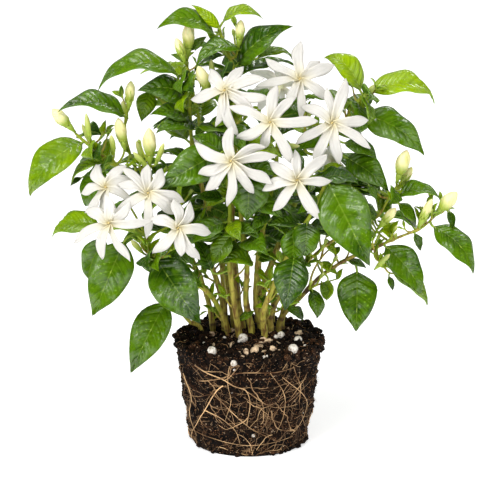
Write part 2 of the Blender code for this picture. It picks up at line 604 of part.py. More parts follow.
def photo_bud(base, tip, depth, radius, sides):
    """Bud between two pixels, leaning a little towards the viewer."""
    foot = at(*base, depth)
    end = at(*tip, depth - 2)
    return {"foot": foot.lerp(end, BUD_FOOT), "axis": (end - foot).normalized(),
            "length": (end - foot).length * (1 - BUD_FOOT), "radius": radius * MM, "sides": sides}


def plan_plant():
    """Every stem, bloom, bud and leaf, each bent clear of what was placed before it."""
    room = Room()
    paths = stem_paths()
    plan = {"paths": paths, "blooms": [], "buds": [], "leaves": [], "missed": []}
    for node, runs in paths.items():
        for path, radii in runs:
            sizes = [radii[0] + (radii[1] - radii[0]) * index / (len(path) - 1) for index in range(len(path))]
            room.take(node, tube_mesh(path, [size * MM for size in sizes], 1))
    for name, row in BLOOMS.items():
        for shift in DEPTH_SHIFTS:
            made = place_bloom(room, paths, row[0], name, photo_bloom(row, shift))
            if made:
                plan["blooms"].append(made)
                break
        else:
            plan["missed"].append(name)
    for name, (node, base, tip, depth, radius) in BUDS.items():
        for shift in DEPTH_SHIFTS:
            made = place_bud(room, paths, node, name, photo_bud(base, tip, depth + shift, radius, 6))
            if made:
                plan["buds"].append(made)
                break
        else:
            plan["missed"].append(name)
    for node, base, tip, depth in GREEN_BUDS:
        for shift in DEPTH_SHIFTS:
            bud = photo_bud(base, tip, depth + shift, GREEN_BUD_RADIUS, 5)
            made = place_bud(room, paths, node, node, bud)
            if made:
                plan["buds"].append(made)
                break
        else:
            plan["missed"].append((node, base))
    for row in LEAVES:
        place_photo_leaf(room, paths, plan, row)
    place_back_leaves(room, paths, plan)
    place_hidden(room, paths, plan)
    return plan


def place_photo_leaf(room, paths, plan, row):
    """Place a leaf of the table on its pixels, at the first depth that is clear."""
    node, base_mark, tip_mark, back, width, face, arch = row
    root = min((nearest_on(path, Vector(base_mark), flat=True) for path, _ in paths[node]),
               key=lambda spot: (seen(spot) - Vector(base_mark)).length)
    depth = root.y / MM
    for size in SIZE_TRIES:
        for shift in DEPTH_SHIFTS:
            base = at(*base_mark, depth - 2 + shift * 0.4)
            tip = at(*tip_mark, depth + back + shift)
            tip = base.lerp(tip, 0.5 + size / 2)
            facing = Vector((0, -1, 0.25)) * face + Vector((0, -0.1, 1)) * (1 - face)
            leaf = {"node": node, "root": root, "base": base, "tip": tip, "width": width * MM * size,
                    "up": square_to(facing, tip - base), "arch": arch * MM}
            if place_leaf(room, node, leaf):
                plan["leaves"].append(leaf)
                return
    plan["missed"].append((node, base_mark))


def in_crown(point):
    """Whether a point is seen inside the crown's oval."""
    away = seen(point) - CROWN_MIDDLE
    return (away.x / CROWN_RADII[0]) ** 2 + (away.y / CROWN_RADII[1]) ** 2 < 1


def in_window(leaf):
    """Whether the middle or the tip of a leaf stands where the photograph sees through."""
    marks = [seen(leaf["base"].lerp(leaf["tip"], share)) for share in (0.5, 1.0)]
    return any(left < mark.x < right and top < mark.y < bottom
               for mark in marks for left, top, right, bottom in OPEN_WINDOWS)


def place_hidden(room, paths, plan):
    """Blooms, then pairs of leaves, on the stems of the sides and back."""
    draw = random.Random(7)
    for index, (bearing, _, _) in enumerate(HIDDEN_STEMS):
        node = f"stem_hidden_{index + 1}"
        path = paths[node][0][0]
        turn = math.radians(bearing)
        outward = Vector((math.cos(turn), math.sin(turn), 0))
        if bearing in HIDDEN_BLOOM_BEARINGS:
            place_hidden_bloom(room, paths, plan, node, path[-1], outward)
    for index, (bearing, _, _) in enumerate(HIDDEN_STEMS):
        node = f"stem_hidden_{index + 1}"
        path = paths[node][0][0]
        for level in range(HIDDEN_LEVELS):
            along = 2.5 + (len(path) - 3.5) * level / (HIDDEN_LEVELS - 1)
            root = path[int(along)].lerp(path[min(int(along) + 1, len(path) - 1)], along % 1)
            for side in (0, 1):
                turn = math.radians(bearing) + level * LEAF_TURN + side * math.pi + math.radians(45)
                length = draw.uniform(*HIDDEN_LEAF_LENGTHS) * MM * (1 - 0.07 * level)
                place_hidden_leaf(room, plan, node, root, turn, length, draw.uniform(-0.45, 0.4))


def place_back_leaves(room, paths, plan):
    """Leaves at the back of the stems that the photograph shows, turned left and right by turns."""
    draw = random.Random(23)
    for node, shares in BACK_LEAVES.items():
        path = paths[node][0][0]
        for index, share in enumerate(shares):
            along = share * (len(path) - 1)
            root = path[int(along)].lerp(path[int(along) + 1], along % 1)
            turn = math.radians(BACK_BEARINGS[index % 2] + draw.uniform(-15, 15))
            length = draw.uniform(*HIDDEN_LEAF_LENGTHS) * MM
            place_hidden_leaf(room, plan, node, root, turn, length, draw.uniform(-0.1, 0.5))


def place_hidden_bloom(room, paths, plan, node, top, outward):
    """Bloom at the tip of a hidden stem, facing out and up."""
    for shift in DEPTH_SHIFTS:
        axis = (outward + Vector((0, 0, 0.5))).normalized()
        rise = Vector((0, 0, (HIDDEN_BLOOM_RISE + shift) * MM))
        throat = top + outward * (HIDDEN_BLOOM_REACH + shift * 0.4) * MM + rise
        across = square_to(Vector((0, 0, 1)), axis)
        up = axis.cross(across)
        tips = []
        for petal in range(HIDDEN_PETALS):
            angle = math.tau * petal / HIDDEN_PETALS + 0.12 * math.sin(petal * 5)
            length = (HIDDEN_PETAL_LENGTH + 2 * math.sin(petal * 3)) * MM
            ray = across * math.cos(angle) + up * math.sin(angle)
            tips.append(throat + ray * length - axis * PETAL_CURL)
        bloom = {"throat": throat, "axis": axis, "tips": tips, "curl": PETAL_CURL}
        name = f"bloom_{len(plan['blooms']) + 1}"
        made = place_bloom(room, paths, node, name, bloom)
        if made:
            plan["blooms"].append(made)
            return
    plan["missed"].append((node, "bloom"))


def place_hidden_leaf(room, plan, node, root, turn, length, lift):
    """Leaf of a hidden stem, at the first bearing and size that is clear and inside the crown."""
    for size in SIZE_TRIES:
        for shift in BEARING_SHIFTS:
            bearing = turn + math.radians(shift)
            out = Vector((math.cos(bearing), math.sin(bearing), lift))
            base = root + out * HIDDEN_STALK
            tip = base + out.normalized() * length * size - Vector((0, 0, HIDDEN_DROOP * length))
            leaf = {"node": node, "root": root, "base": base, "tip": tip,
                    "width": length * size * HIDDEN_LEAF_WIDTH,
                    "up": square_to(Vector((0, 0, 1)) + out * 0.35, tip - base), "arch": 0.1 * length}
            if in_crown(tip) and not in_window(leaf) and place_leaf(room, node, leaf):
                plan["leaves"].append(leaf)
                return
    plan["missed"].append((node, "leaf"))


def clear_scene():
    """Remove the objects that the file starts with."""
    for thing in list(bpy.data.objects):
        bpy.data.objects.remove(thing, do_unlink=True)


def material(name):
    """Principled material with a colour, and roughness as its last value."""
    made = bpy.data.materials.get(name)
    if made is None:
        red, green, blue, roughness = COLOURS[name]
        made = bpy.data.materials.new(name)
        made.use_nodes = True
        shader = made.node_tree.nodes["Principled BSDF"]
        shader.inputs["Base Color"].default_value = (red, green, blue, 1)
        shader.inputs["Roughness"].default_value = roughness
        shader.inputs["Metallic"].default_value = 0
        made.diffuse_color = (red, green, blue, 1)
    return made


def new_object(name, mesh, collection, finish):
    """Object in a collection from a bmesh."""
    data = bpy.data.meshes.new(name)
    mesh.to_mesh(data)
    mesh.free()
    data.materials.append(material(finish))
    made = bpy.data.objects.new(name, data)
    collection.objects.link(made)
    return made


def fuse(name, meshes, parts, cutters, finish, solver="EXACT"):
    """One body from overlapping meshes, by a Boolean union on their collection."""
    body = new_object(name, meshes[0], parts, finish)
    if len(meshes) > 1:
        helper = bpy.data.collections.new(name + "_pieces")
        cutters.children.link(helper)
        pieces = [new_object(name + "_piece", mesh, helper, finish) for mesh in meshes[1:]]
        union = body.modifiers.new("union", "BOOLEAN")
        union.operation = "UNION"
        union.operand_type = "COLLECTION"
        union.collection = helper
        union.solver = solver
        fused = bpy.data.meshes.new_from_object(body.evaluated_get(bpy.context.evaluated_depsgraph_get()))
        body.modifiers.remove(union)
        body.data = fused
        for piece in pieces:
            bpy.data.objects.remove(piece, do_unlink=True)
        bpy.data.collections.remove(helper)
    keep_largest(body.data)
    return body


def keep_largest(data):
    """Weld a fused mesh and drop the scrap and sealed hollows that fusing leaves."""
    mesh = bmesh.new()
    mesh.from_mesh(data)
    bmesh.ops.remove_doubles(mesh, verts=mesh.verts, dist=2e-6)
    bmesh.ops.dissolve_degenerate(mesh, edges=mesh.edges, dist=2e-6)
    bmesh.ops.triangulate(mesh, faces=mesh.faces)
    islands = []
    left = set(mesh.faces)
    while left:
        island, queue = set(), [left.pop()]
        while queue:
            face = queue.pop()
            island.add(face)
            for edge in face.edges:
                for other in edge.link_faces:
                    if other in left:
                        left.remove(other)
                        queue.append(other)
        islands.append(island)
    islands.sort(key=lambda island: sum(face.calc_area() for face in island))
    loose = [face for island in islands[:-1] for face in island]
    bmesh.ops.delete(mesh, geom=loose, context="FACES")
    mesh.to_mesh(data)
    mesh.free()


def ball_surface(turn, height):
    """Radius of the soil at a bearing and height: a cone with uneven ground."""
    share = height / BALL_HEIGHT
    smooth = BALL_FOOT_RADIUS + (BALL_TOP_RADIUS - BALL_FOOT_RADIUS) * share ** 0.85
    spot = Vector((math.cos(turn) * 2.2, math.sin(turn) * 2.2, share * 3.2))
    return smooth + BALL_ROUGHNESS * 2 * noise.noise(spot * 1.7)


def root_ball_mesh():
    """Soil solid: rings of points from the flat foot up to the rim and in over the rough top."""
    mesh = bmesh.new()
    count = BALL_RINGS + len(TOP_RINGS) + 1
    bmesh.ops.create_uvsphere(mesh, u_segments=BALL_SIDES, v_segments=count + 1, radius=1)
    levels = sorted({round(vert.co.z, 4) for vert in mesh.verts})
    for vert in mesh.verts:
        level = levels.index(round(vert.co.z, 4)) - 1
        turn = math.atan2(vert.co.y, vert.co.x)
        if level < 0:
            vert.co = Vector((0, 0, 0))
        elif level <= BALL_RINGS:
            height = BALL_HEIGHT * level / BALL_RINGS
            radius = ball_surface(turn, height) if level else BALL_FOOT_RADIUS - 1 * MM
            vert.co = Vector((math.cos(turn) * radius, math.sin(turn) * radius, height))
            if level == BALL_RINGS:
                vert.co.z += BALL_ROUGHNESS * 1.5 * noise.noise(vert.co * 90)
        else:
            share = (TOP_RINGS + (0.0,))[level - BALL_RINGS - 1]
            radius = BALL_TOP_RADIUS * share
            flat = Vector((math.cos(turn) * radius, math.sin(turn) * radius, 0))
            bump = BALL_ROUGHNESS * 1.6 * noise.noise(flat * 110)
            mound = SOIL_MOUND * (1 - share ** 2)
            vert.co = flat + Vector((0, 0, BALL_HEIGHT + mound + bump))
    bmesh.ops.recalc_face_normals(mesh, faces=mesh.faces)
    return mesh


def on_soil(across, down):
    """Point of the soil's upper surface that is seen at a pixel."""
    level = BALL_HEIGHT + SOIL_MOUND * GRIT_LEVEL
    ray = at(across, down, 0) - EYE
    return EYE + ray * ((level - EYE.z) / ray.z)


def grit_meshes(feet):
    """Perlite beads, bark chips and crumbs that stand out of the soil's upper surface."""
    draw = random.Random(3)
    grains = [(on_soil(across, down), radius * MM) for across, down, radius in GRIT]
    for _ in range(HIDDEN_GRIT):
        turn = math.radians(draw.uniform(0, 180))
        reach = draw.uniform(0.45, 0.85) * BALL_TOP_RADIUS
        grains.append((Vector((math.cos(turn) * reach, math.sin(turn) * reach, BALL_HEIGHT + 1 * MM)),
                       draw.uniform(2, 3.4) * MM))
    meshes = []
    for spot, radius in grains:
        if min((Vector((spot.x, spot.y)) - foot).length for foot in feet) < radius + 3.2 * MM:
            continue
        mesh = bmesh.new()
        bmesh.ops.create_icosphere(mesh, subdivisions=1, radius=radius)
        turn = Matrix.Rotation(draw.uniform(0, 3), 4, Vector((0.4, 0.5, 0.7)))
        mesh.transform(Matrix.Translation(spot + Vector((0, 0, radius * 0.1))) @ turn)
        meshes.append(mesh)
    return meshes


def build_root_ball(plan, parts, cutters):
    """Soil with its grit, and one plain hole for each stem."""
    feet = []
    holes = []
    for runs in plan["paths"].values():
        path, radii = runs[0]
        feet.append(Vector((path[0].x, path[0].y)))
        holes.append((path[0], (radii[0] * MM + GAP) / math.cos(math.pi / HOLE_SIDES)))
    ball = fuse("root_ball", [root_ball_mesh()] + grit_meshes(feet), parts, cutters, "soil")
    helper = bpy.data.collections.new("stem_holes")
    cutters.children.link(helper)
    made = []
    for foot, radius in holes:
        mesh = bmesh.new()
        bmesh.ops.create_cone(mesh, cap_ends=True, segments=HOLE_SIDES, radius1=radius, radius2=radius,
                              depth=SOIL_HOLE_DEPTH * 2)
        mesh.transform(Matrix.Translation(foot + Vector((0, 0, SOIL_HOLE_DEPTH - GAP))))
        made.append(new_object("stem_hole", mesh, helper, "soil"))
    cut = ball.modifiers.new("holes", "BOOLEAN")
    cut.operation = "DIFFERENCE"
    cut.operand_type = "COLLECTION"
    cut.collection = helper
    data = bpy.data.meshes.new_from_object(ball.evaluated_get(bpy.context.evaluated_depsgraph_get()))
    ball.modifiers.remove(cut)
    ball.data = data
    for hole in made:
        bpy.data.objects.remove(hole, do_unlink=True)
    bpy.data.collections.remove(helper)
    keep_largest(ball.data)
    return ball


def hug(tree, points, radius, ring=False):
    """Move a root's points out until the whole run lies just off the soil."""
    points = [point.copy() for point in points]
    pairs = list(zip(range(len(points)), range(1, len(points))))
    if ring:
        pairs.append((len(points) - 1, 0))
    for _ in range(60):
        moved = set()
        for first, second in pairs:
            for step in range(8):
                spot = points[first].lerp(points[second], step / 7)
                touch, normal, _, distance = tree.find_nearest(spot)
                inside = (spot - touch).dot(normal) < 0
                if inside or distance < radius * 1.1 + ROOT_LIFT:
                    moved |= {first, second}
                    break
        for index in moved:
            flat = Vector((points[index].x, points[index].y, 0))
            points[index] += flat.normalized() * 0.15 * MM
        if not moved:
            break
    return points


def build_roots(ball, parts, cutters):
    """One net of roots round the outside of the ball: rings and forked runs that cross them."""
    draw = random.Random(11)
    soil = bmesh.new()
    soil.from_mesh(ball.data)
    tree = BVHTree.FromBMesh(soil)
    soil.free()
    meshes = []
    for height in ROOT_RINGS:
        points = []
        for step in range(ROOT_RING_POINTS):
            turn = math.tau * step / ROOT_RING_POINTS
            level = height * MM + 2.5 * MM * math.sin(turn * 3 + height) + draw.uniform(-1, 1) * MM
            radius = ball_surface(turn, level)
            points.append(Vector((math.cos(turn) * radius, math.sin(turn) * radius, level)))
        points = hug(tree, points, ROOT_RADII[1], ring=True)
        meshes.append(ring_mesh(points, ROOT_RADII[1]))
    for index in range(ROOT_RUNS):
        turn = math.tau * (index + draw.uniform(-0.3, 0.3)) / ROOT_RUNS
        lean = draw.uniform(-0.5, 0.5)
        points = []
        for step in range(ROOT_RUN_POINTS):
            share = step / (ROOT_RUN_POINTS - 1)
            level = (ROOT_RUN_HEIGHTS[0] * (1 - share) + ROOT_RUN_HEIGHTS[1] * share) * MM
            bearing = turn + lean * share + 0.1 * math.sin(step * 1.7 + index)
            radius = ball_surface(bearing, level)
            points.append(Vector((math.cos(bearing) * radius, math.sin(bearing) * radius, level)))
        radius = draw.uniform(*ROOT_RADII)
        points = hug(tree, points, radius)
        meshes.append(tube_mesh(points, [radius] * len(points), 0))
    return fuse("root_net", meshes, parts, cutters, "root")


def ring_mesh(points, radius):
    """Closed ring of a root, from a curve that joins its own end."""
    curve = bpy.data.curves.new("ring", "CURVE")
    curve.dimensions = "3D"
    curve.bevel_depth = radius
    curve.bevel_resolution = 0
    spline = curve.splines.new("POLY")
    spline.points.add(len(points) - 1)
    for knot, point in zip(spline.points, points):
        knot.co = (*point, 1)
    spline.use_cyclic_u = True
    holder = bpy.data.objects.new("ring", curve)
    bpy.context.collection.objects.link(holder)
    made = bpy.data.meshes.new_from_object(holder.evaluated_get(bpy.context.evaluated_depsgraph_get()))
    bpy.data.objects.remove(holder)
    bpy.data.curves.remove(curve)
    mesh = bmesh.new()
    mesh.from_mesh(made)
    bpy.data.meshes.remove(made)
    bmesh.ops.recalc_face_normals(mesh, faces=mesh.faces)
    return mesh


def cone_mesh(foot, direction, length, radii):
    """Six-sided cone with flat ends."""
    mesh = bmesh.new()
    bmesh.ops.create_cone(mesh, cap_ends=True, segments=6, radius1=radii[0], radius2=radii[1], depth=length)
    mesh.transform(stand(foot, direction) @ Matrix.Translation((0, 0, length / 2)))
    return mesh


def build_stem(plan, node, parts, cutters):
    """One leafy stem: its wood, twigs, calyces, green buds and leaves, fused."""
    meshes = []
    for path, radii in plan["paths"][node]:
        sizes = [radii[0] + (radii[1] - radii[0]) * index / (len(path) - 1) for index in range(len(path))]
        meshes.append(tube_mesh(path, [size * MM for size in sizes], 1 if not meshes else 0))
    for flower in plan["blooms"] + plan["buds"]:
        if flower["node"] != node:
            continue
        twig = flower["twig"]
        meshes.append(tube_mesh(twig, [TWIG_RADIUS] * len(twig), 0))
        if flower["name"] == node:
            meshes.append(bud_mesh(flower))
        else:
            meshes.append(cone_mesh(flower["calyx"], flower["axis"], CALYX_LENGTH, CALYX_RADII))
    meshes += [leaf_mesh(leaf) for leaf in plan["leaves"] if leaf["node"] == node]
    return fuse(node, meshes, parts, cutters, "leaf")


def main():
    clear_scene()
    parts = bpy.data.collections.new("jasmine")
    cutters = bpy.data.collections.new("cutters")
    bpy.context.scene.collection.children.link(parts)
    bpy.context.scene.collection.children.link(cutters)
    plan = plan_plant()
    ball = build_root_ball(plan, parts, cutters)
    build_roots(ball, parts, cutters)
    for node in plan["paths"]:
        build_stem(plan, node, parts, cutters)
    for bloom in plan["blooms"]:
        star = bloom_mesh(bloom)
        length = (bloom["throat"] - bloom["seat"]).length
        tube = cone_mesh(bloom["seat"], bloom["axis"], length, TUBE_RADII)
        fuse(bloom["name"], [star, tube], parts, cutters, "petal")
    for bud in plan["buds"]:
        if bud["name"] != bud["node"]:
            new_object(bud["name"], bud_mesh(bud), parts, "bud")
    bpy.data.collections.remove(cutters)
    return plan


PLAN = main()
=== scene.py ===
"""Looks of the jasmine: fine leaves, petals, buds, bark, roots and soil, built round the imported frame.

Units are metres, in the frame of the model: +Z up, the photographed side towards -Y.
The plan of stems, blooms, buds and leaves repeats the model's own, so each fine piece lies where
its solid is.
"""

import math
import random

import bmesh
import bpy
import numpy as np
from mathutils import Matrix, Vector, noise
from mathutils.bvhtree import BVHTree


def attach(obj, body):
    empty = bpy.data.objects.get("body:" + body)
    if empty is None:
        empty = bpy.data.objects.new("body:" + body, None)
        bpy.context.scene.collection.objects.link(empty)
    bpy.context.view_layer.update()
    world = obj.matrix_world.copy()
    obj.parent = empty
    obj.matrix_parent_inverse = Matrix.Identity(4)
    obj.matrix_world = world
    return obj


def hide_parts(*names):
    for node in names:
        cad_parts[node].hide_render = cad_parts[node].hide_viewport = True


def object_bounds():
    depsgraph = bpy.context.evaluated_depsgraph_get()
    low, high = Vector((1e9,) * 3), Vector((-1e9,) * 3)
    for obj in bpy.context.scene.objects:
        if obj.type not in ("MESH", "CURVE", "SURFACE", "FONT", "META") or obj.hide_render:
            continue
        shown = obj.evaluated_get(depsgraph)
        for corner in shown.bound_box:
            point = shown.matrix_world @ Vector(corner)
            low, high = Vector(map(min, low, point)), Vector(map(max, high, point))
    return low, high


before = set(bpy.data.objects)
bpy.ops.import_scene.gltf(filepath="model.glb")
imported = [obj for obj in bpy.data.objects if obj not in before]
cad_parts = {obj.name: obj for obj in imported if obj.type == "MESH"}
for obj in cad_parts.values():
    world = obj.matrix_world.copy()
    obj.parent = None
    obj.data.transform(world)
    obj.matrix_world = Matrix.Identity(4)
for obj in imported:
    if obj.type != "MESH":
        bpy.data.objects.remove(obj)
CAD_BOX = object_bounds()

MM = 0.001
GAP = 0.3 * MM                  # air between two touching pieces

# Root ball
BALL_HEIGHT = 66 * MM
BALL_TOP_RADIUS = 46.5 * MM
BALL_FOOT_RADIUS = 36 * MM
BALL_ROUGHNESS = 1.1 * MM
SOIL_MOUND = 3.5 * MM           # how far the soil rises from the rim to the middle
SOIL_HOLE_DEPTH = 12 * MM
STEM_FOOT = BALL_HEIGHT - SOIL_HOLE_DEPTH       # height of a stem's lower end, down in its hole
STEM_CLEAR = BALL_HEIGHT + SOIL_MOUND + 2 * MM  # up to here a stem stands upright, like its hole
GRIT_LEVEL = 0.6                # share of the mound's height at which the photograph's grains are placed

# Leaves, petals and buds
LEAF_THICKNESS = 0.7 * MM
PETIOLE_WIDTH = 1.5 * MM
LEAF_FOLD = math.radians(14)    # how far each half of a leaf rises from its midrib
LARGE_LEAF = 44 * MM            # a leaf over this length gets one more row of points
SMALL_LEAF = 19 * MM            # and one under this gets one less
PETAL_THICKNESS = 0.7 * MM
PETAL_WIDTH = 7.6 * MM
PETAL_LENGTHS = (17 * MM, 28 * MM)
PETAL_CURL = 1.5 * MM           # the middle of a petal stands this far up, and its tip as far down
PETAL_SPREAD = 0.94             # widest petal, as a share of the room between its neighbours
THROAT_RADIUS = 2.6 * MM
TUBE_LENGTH = 15 * MM
TUBE_RADII = (1.2 * MM, 1.5 * MM)
CALYX_LENGTH = 4 * MM
CALYX_RADII = (0.8 * MM, 2.0 * MM)
BUD_FOOT = 0.15                 # where a bud begins, as a share of the line between its pixels
BUD_RINGS = ((0.0, 0.42), (0.55, 1.0), (0.85, 0.66))    # shares of a bud's length and radius
GREEN_BUD_RADIUS = 2.0          # mm
BUD_CORNERS = 6                 # sides of a bud's solid
GREEN_BUD_CORNERS = 5
BUD_LEAN = 2                    # mm by which a bud's tip stands nearer than its foot
LEAF_FORWARD = 2                # mm by which a leaf's base stands nearer than its stem
FOOT_SHARE = 0.4                # of a shift in depth, taken by the base too
FACING_VIEWER = Vector((0, -1, 0.25))
FACING_SKY = Vector((0, -0.1, 1))
TWIG_RADIUS = 0.75 * MM
TWIG_DROP = 6 * MM              # how far under a flower its twig leaves the stem
CLEARANCE = 0.5 * MM            # kept round a leaf, petal or twig when it is placed

# The photograph, 485 by 494 pixels, is seen from 1.3 m away, looking 14 degrees down.
# One of its pixels is 0.62 mm at the plant's middle plane.
PIXEL = 0.62 * MM
VIEW_DISTANCE = 1300 * MM
VIEW_TILT = math.radians(14)
VIEW_WIDTH = 485                # pixels
VIEW_MIDDLE = (242.5, 247.0)
VIEW_TARGET = Vector((-3.8, 0, 124.9)) * MM
FORWARD = Vector((0, math.cos(VIEW_TILT), -math.sin(VIEW_TILT)))
UPWARD = Vector((0, math.sin(VIEW_TILT), math.cos(VIEW_TILT)))
EYE = VIEW_TARGET - FORWARD * VIEW_DISTANCE

# Stems. Each has its foot on the soil (x and y in mm), its radii at foot and tip in mm, and the
# points that it runs through: pixel across, pixel down, and depth in mm behind the middle plane.
STEMS = {
    "stem_left_blooms": ((-13, -3), (1.7, 1.0), [
        (221, 312, -8), (207, 292, -18), (184, 277, -30), (163, 267, -38), (151, 255, -42),
        (146, 236, -43)]),
    "stem_left_buds": ((-15, 5), (1.7, 0.9), [
        (222, 300, 3), (213, 270, 1), (199, 240, -4), (180, 212, -8), (158, 194, -10), (136, 180, -12),
        (118, 167, -14), (100, 153, -14), (85, 142, -13), (76, 134, -12)]),
    "stem_upper_left": ((-9, 12), (1.9, 0.9), [
        (230, 296, 12), (221, 258, 11), (211, 220, 9), (200, 180, 6), (193, 150, 3), (190, 120, 1),
        (190, 95, 0), (188, 76, 0), (187, 62, 0)]),
    "stem_top": ((-4, 4), (2.2, 0.9), [
        (236, 296, 5), (233, 258, 5), (232, 218, 4), (233, 178, 4), (235, 138, 4), (235, 100, 3),
        (233, 68, 2), (227, 53, 2), (222, 38, 2), (219, 29, 2)]),
    "stem_centre_blooms": ((2, -5), (1.9, 1.0), [
        (246, 300, -8), (247, 265, -14), (243, 232, -20), (239, 200, -26), (236, 172, -28), (233, 140, -26),
        (230, 112, -20)]),
    "stem_centre_right": ((8, 3), (2.1, 1.0), [
        (256, 300, 0), (258, 262, -5), (263, 230, -11), (270, 198, -18), (276, 168, -22), (277, 142, -24)]),
    "stem_right_top": ((12, 12), (2.0, 0.9), [
        (263, 292, 11), (273, 260, 9), (286, 226, 7), (300, 192, 5), (315, 162, 3), (332, 137, 1),
        (346, 119, 0), (353, 108, -1), (361, 99, -2), (367, 94, -2)]),
    "stem_right_buds": ((14, -3), (1.7, 0.9), [
        (272, 312, -6), (287, 285, -9), (307, 262, -11), (331, 242, -11), (356, 229, -10), (377, 217, -10),
        (388, 200, -10), (398, 184, -10)]),
    "stem_right_low": ((19, 3), (1.9, 0.8), [
        (284, 314, 1), (301, 297, 0), (321, 276, -2), (348, 259, -6), (375, 248, -10), (392, 240, -12),
        (410, 233, -14), (420, 229, -14), (430, 221, -14), (436, 214, -14)]),
    "stem_front_right": ((10, -10), (1.9, 1.1), [
        (263, 314, -16), (272, 290, -22), (285, 262, -28), (300, 235, -34), (314, 208, -38),
        (325, 186, -40)]),
    "stem_front_left": ((-6, -10), (1.9, 1.1), [
        (235, 310, -16), (231, 280, -20), (229, 250, -24), (230, 222, -27), (229, 192, -30),
        (225, 162, -32)]),
    "stem_low_left": ((-30, 2), (1.3, 1.0), [
        (190, 322, -4), (182, 313, -10), (175, 306, -14), (168, 302, -16)]),
}

# Side twigs: the stem they leave and the points they run through
TWIGS = [
    ("stem_left_buds", [(152, 186, -12), (150, 172, -14), (150, 163, -16)]),
    ("stem_left_buds", [(136, 170, -8), (128, 148, -6), (125, 126, -5), (128, 106, -4)]),
    ("stem_upper_left", [(180, 116, 3), (166, 104, 6), (153, 95, 8)]),
    ("stem_top", [(236, 56, 1), (239, 46, 0)]),
    ("stem_right_top", [(305, 150, -4), (305, 122, -8), (304, 104, -10)]),
    ("stem_right_low", [(376, 258, -14), (382, 262, -15)]),
]

# Leaves: the stem, the pixels of base and tip, how far the tip stands behind the base in mm,
# the width in mm, how far the face turns from the sky (0) to the viewer (1), and the arch in mm.
LEAVES = [
    ("stem_front_right", (329, 184), (370, 267), -16, 32, 1.0, 3),
    ("stem_left_blooms", (157, 260), (201, 325), -14, 30, 1.0, 4),
    ("stem_left_blooms", (124, 242), (92, 318), -8, 28, 0.95, 4),
    ("stem_right_low", (357, 272), (356, 333), -14, 26, 1.0, 4),
    ("stem_low_left", (166, 303), (130, 375), -14, 25, 0.75, 6),
    ("stem_front_left", (222, 152), (157, 189), -18, 25, 0.85, 4),
    ("stem_left_buds", (82, 143), (27, 198), -12, 24, 0.55, 11),
    ("stem_upper_left", (177, 74), (94, 89), -14, 24, 0.3, 13),
    ("stem_right_top", (361, 114), (427, 155), -14, 25, 0.45, 6),
    ("stem_right_top", (371, 92), (438, 103), 8, 22, 0.4, 11),
    ("stem_right_top", (360, 90), (322, 56), 10, 18, 0.4, 9),
    ("stem_top", (238, 64), (292, 24), -12, 22, 0.5, 5),
    ("stem_top", (214, 35), (155, 27), -10, 20, 0.4, 10),
    ("stem_top", (240, 50), (194, 66), -14, 18, 0.25, 8),
    ("stem_top", (223, 22), (264, 17), -10, 12, 0.4, 7),
    ("stem_top", (219, 28), (192, 4), 2, 8, 0.6, 1),
    ("stem_top", (258, 58), (296, 62), 12, 12, 0.2, 6),
    ("stem_left_buds", (124, 116), (56, 109), -12, 23, 0.35, 8),
    ("stem_upper_left", (187, 94), (137, 89), -16, 21, 0.6, 4),
    ("stem_upper_left", (150, 92), (141, 122), -8, 13, 0.8, 2),
    ("stem_upper_left", (189, 116), (150, 113), -14, 16, 0.5, 3),
    ("stem_upper_left", (194, 124), (155, 132), -20, 16, 0.5, 4),
    ("stem_left_buds", (108, 162), (69, 184), -6, 12, 0.2, 5),
    ("stem_left_buds", (104, 170), (84, 208), 6, 18, 0.8, 3),
    ("stem_left_blooms", (98, 224), (50, 236), 8, 19, 0.45, 6),
    ("stem_left_blooms", (104, 238), (90, 284), 10, 20, 0.7, 3),
    ("stem_left_blooms", (167, 256), (195, 262), 6, 13, 0.5, 3),
    ("stem_front_left", (211, 270), (193, 236), 4, 13, 0.5, 3),
    ("stem_front_left", (222, 154), (190, 136), 6, 14, 0.4, 4),
    ("stem_front_left", (250, 172), (247, 222), -8, 27, 0.95, 3),
    ("stem_centre_blooms", (252, 262), (222, 262), -8, 15, 0.5, 4),
    ("stem_front_left", (230, 236), (212, 266), 2, 14, 0.7, 3),
    ("stem_centre_right", (259, 260), (278, 258), -2, 8, 0.5, 2),
    ("stem_front_right", (295, 229), (292, 262), 4, 17, 0.8, 4),
    ("stem_front_right", (307, 223), (305, 258), -4, 18, 0.8, 4),
    ("stem_front_right", (294, 258), (285, 311), -14, 23, 1.0, 3),
    ("stem_centre_right", (268, 304), (258, 296), -4, 6, 0.5, 1),
    ("stem_right_low", (292, 308), (303, 321), 4, 8, 0.5, 2),
    ("stem_right_low", (310, 289), (317, 319), 6, 9, 0.4, 5),
    ("stem_right_low", (328, 280), (326, 301), 4, 9, 0.6, 2),
    ("stem_right_low", (386, 247), (423, 296), -10, 21, 0.6, 7),
    ("stem_right_low", (390, 268), (430, 307), -4, 14, 0.35, 5),
    ("stem_right_low", (434, 227), (476, 275), -10, 20, 0.4, 7),
    ("stem_right_buds", (398, 196), (442, 198), -6, 15, 0.35, 6),
    ("stem_right_buds", (400, 204), (415, 224), 4, 9, 0.5, 2),
    ("stem_right_low", (416, 236), (420, 251), 4, 7, 0.5, 1),
    ("stem_right_top", (347, 158), (390, 191), -14, 20, 0.7, 4),
    ("stem_right_top", (345, 143), (378, 158), -4, 15, 0.4, 3),
    ("stem_front_right", (322, 178), (360, 184), 8, 15, 0.4, 4),
    ("stem_right_buds", (362, 205), (376, 222), -8, 9, 0.5, 2),
    ("stem_right_top", (350, 128), (362, 142), -6, 8, 0.6, 1),
    ("stem_right_low", (448, 212), (454, 229), 0, 5, 0.6, 1),
    ("stem_upper_left", (187, 62), (170, 54), 2, 5, 0.5, 1),
    ("stem_upper_left", (191, 50), (207, 36), 0, 6, 0.6, 1),
]

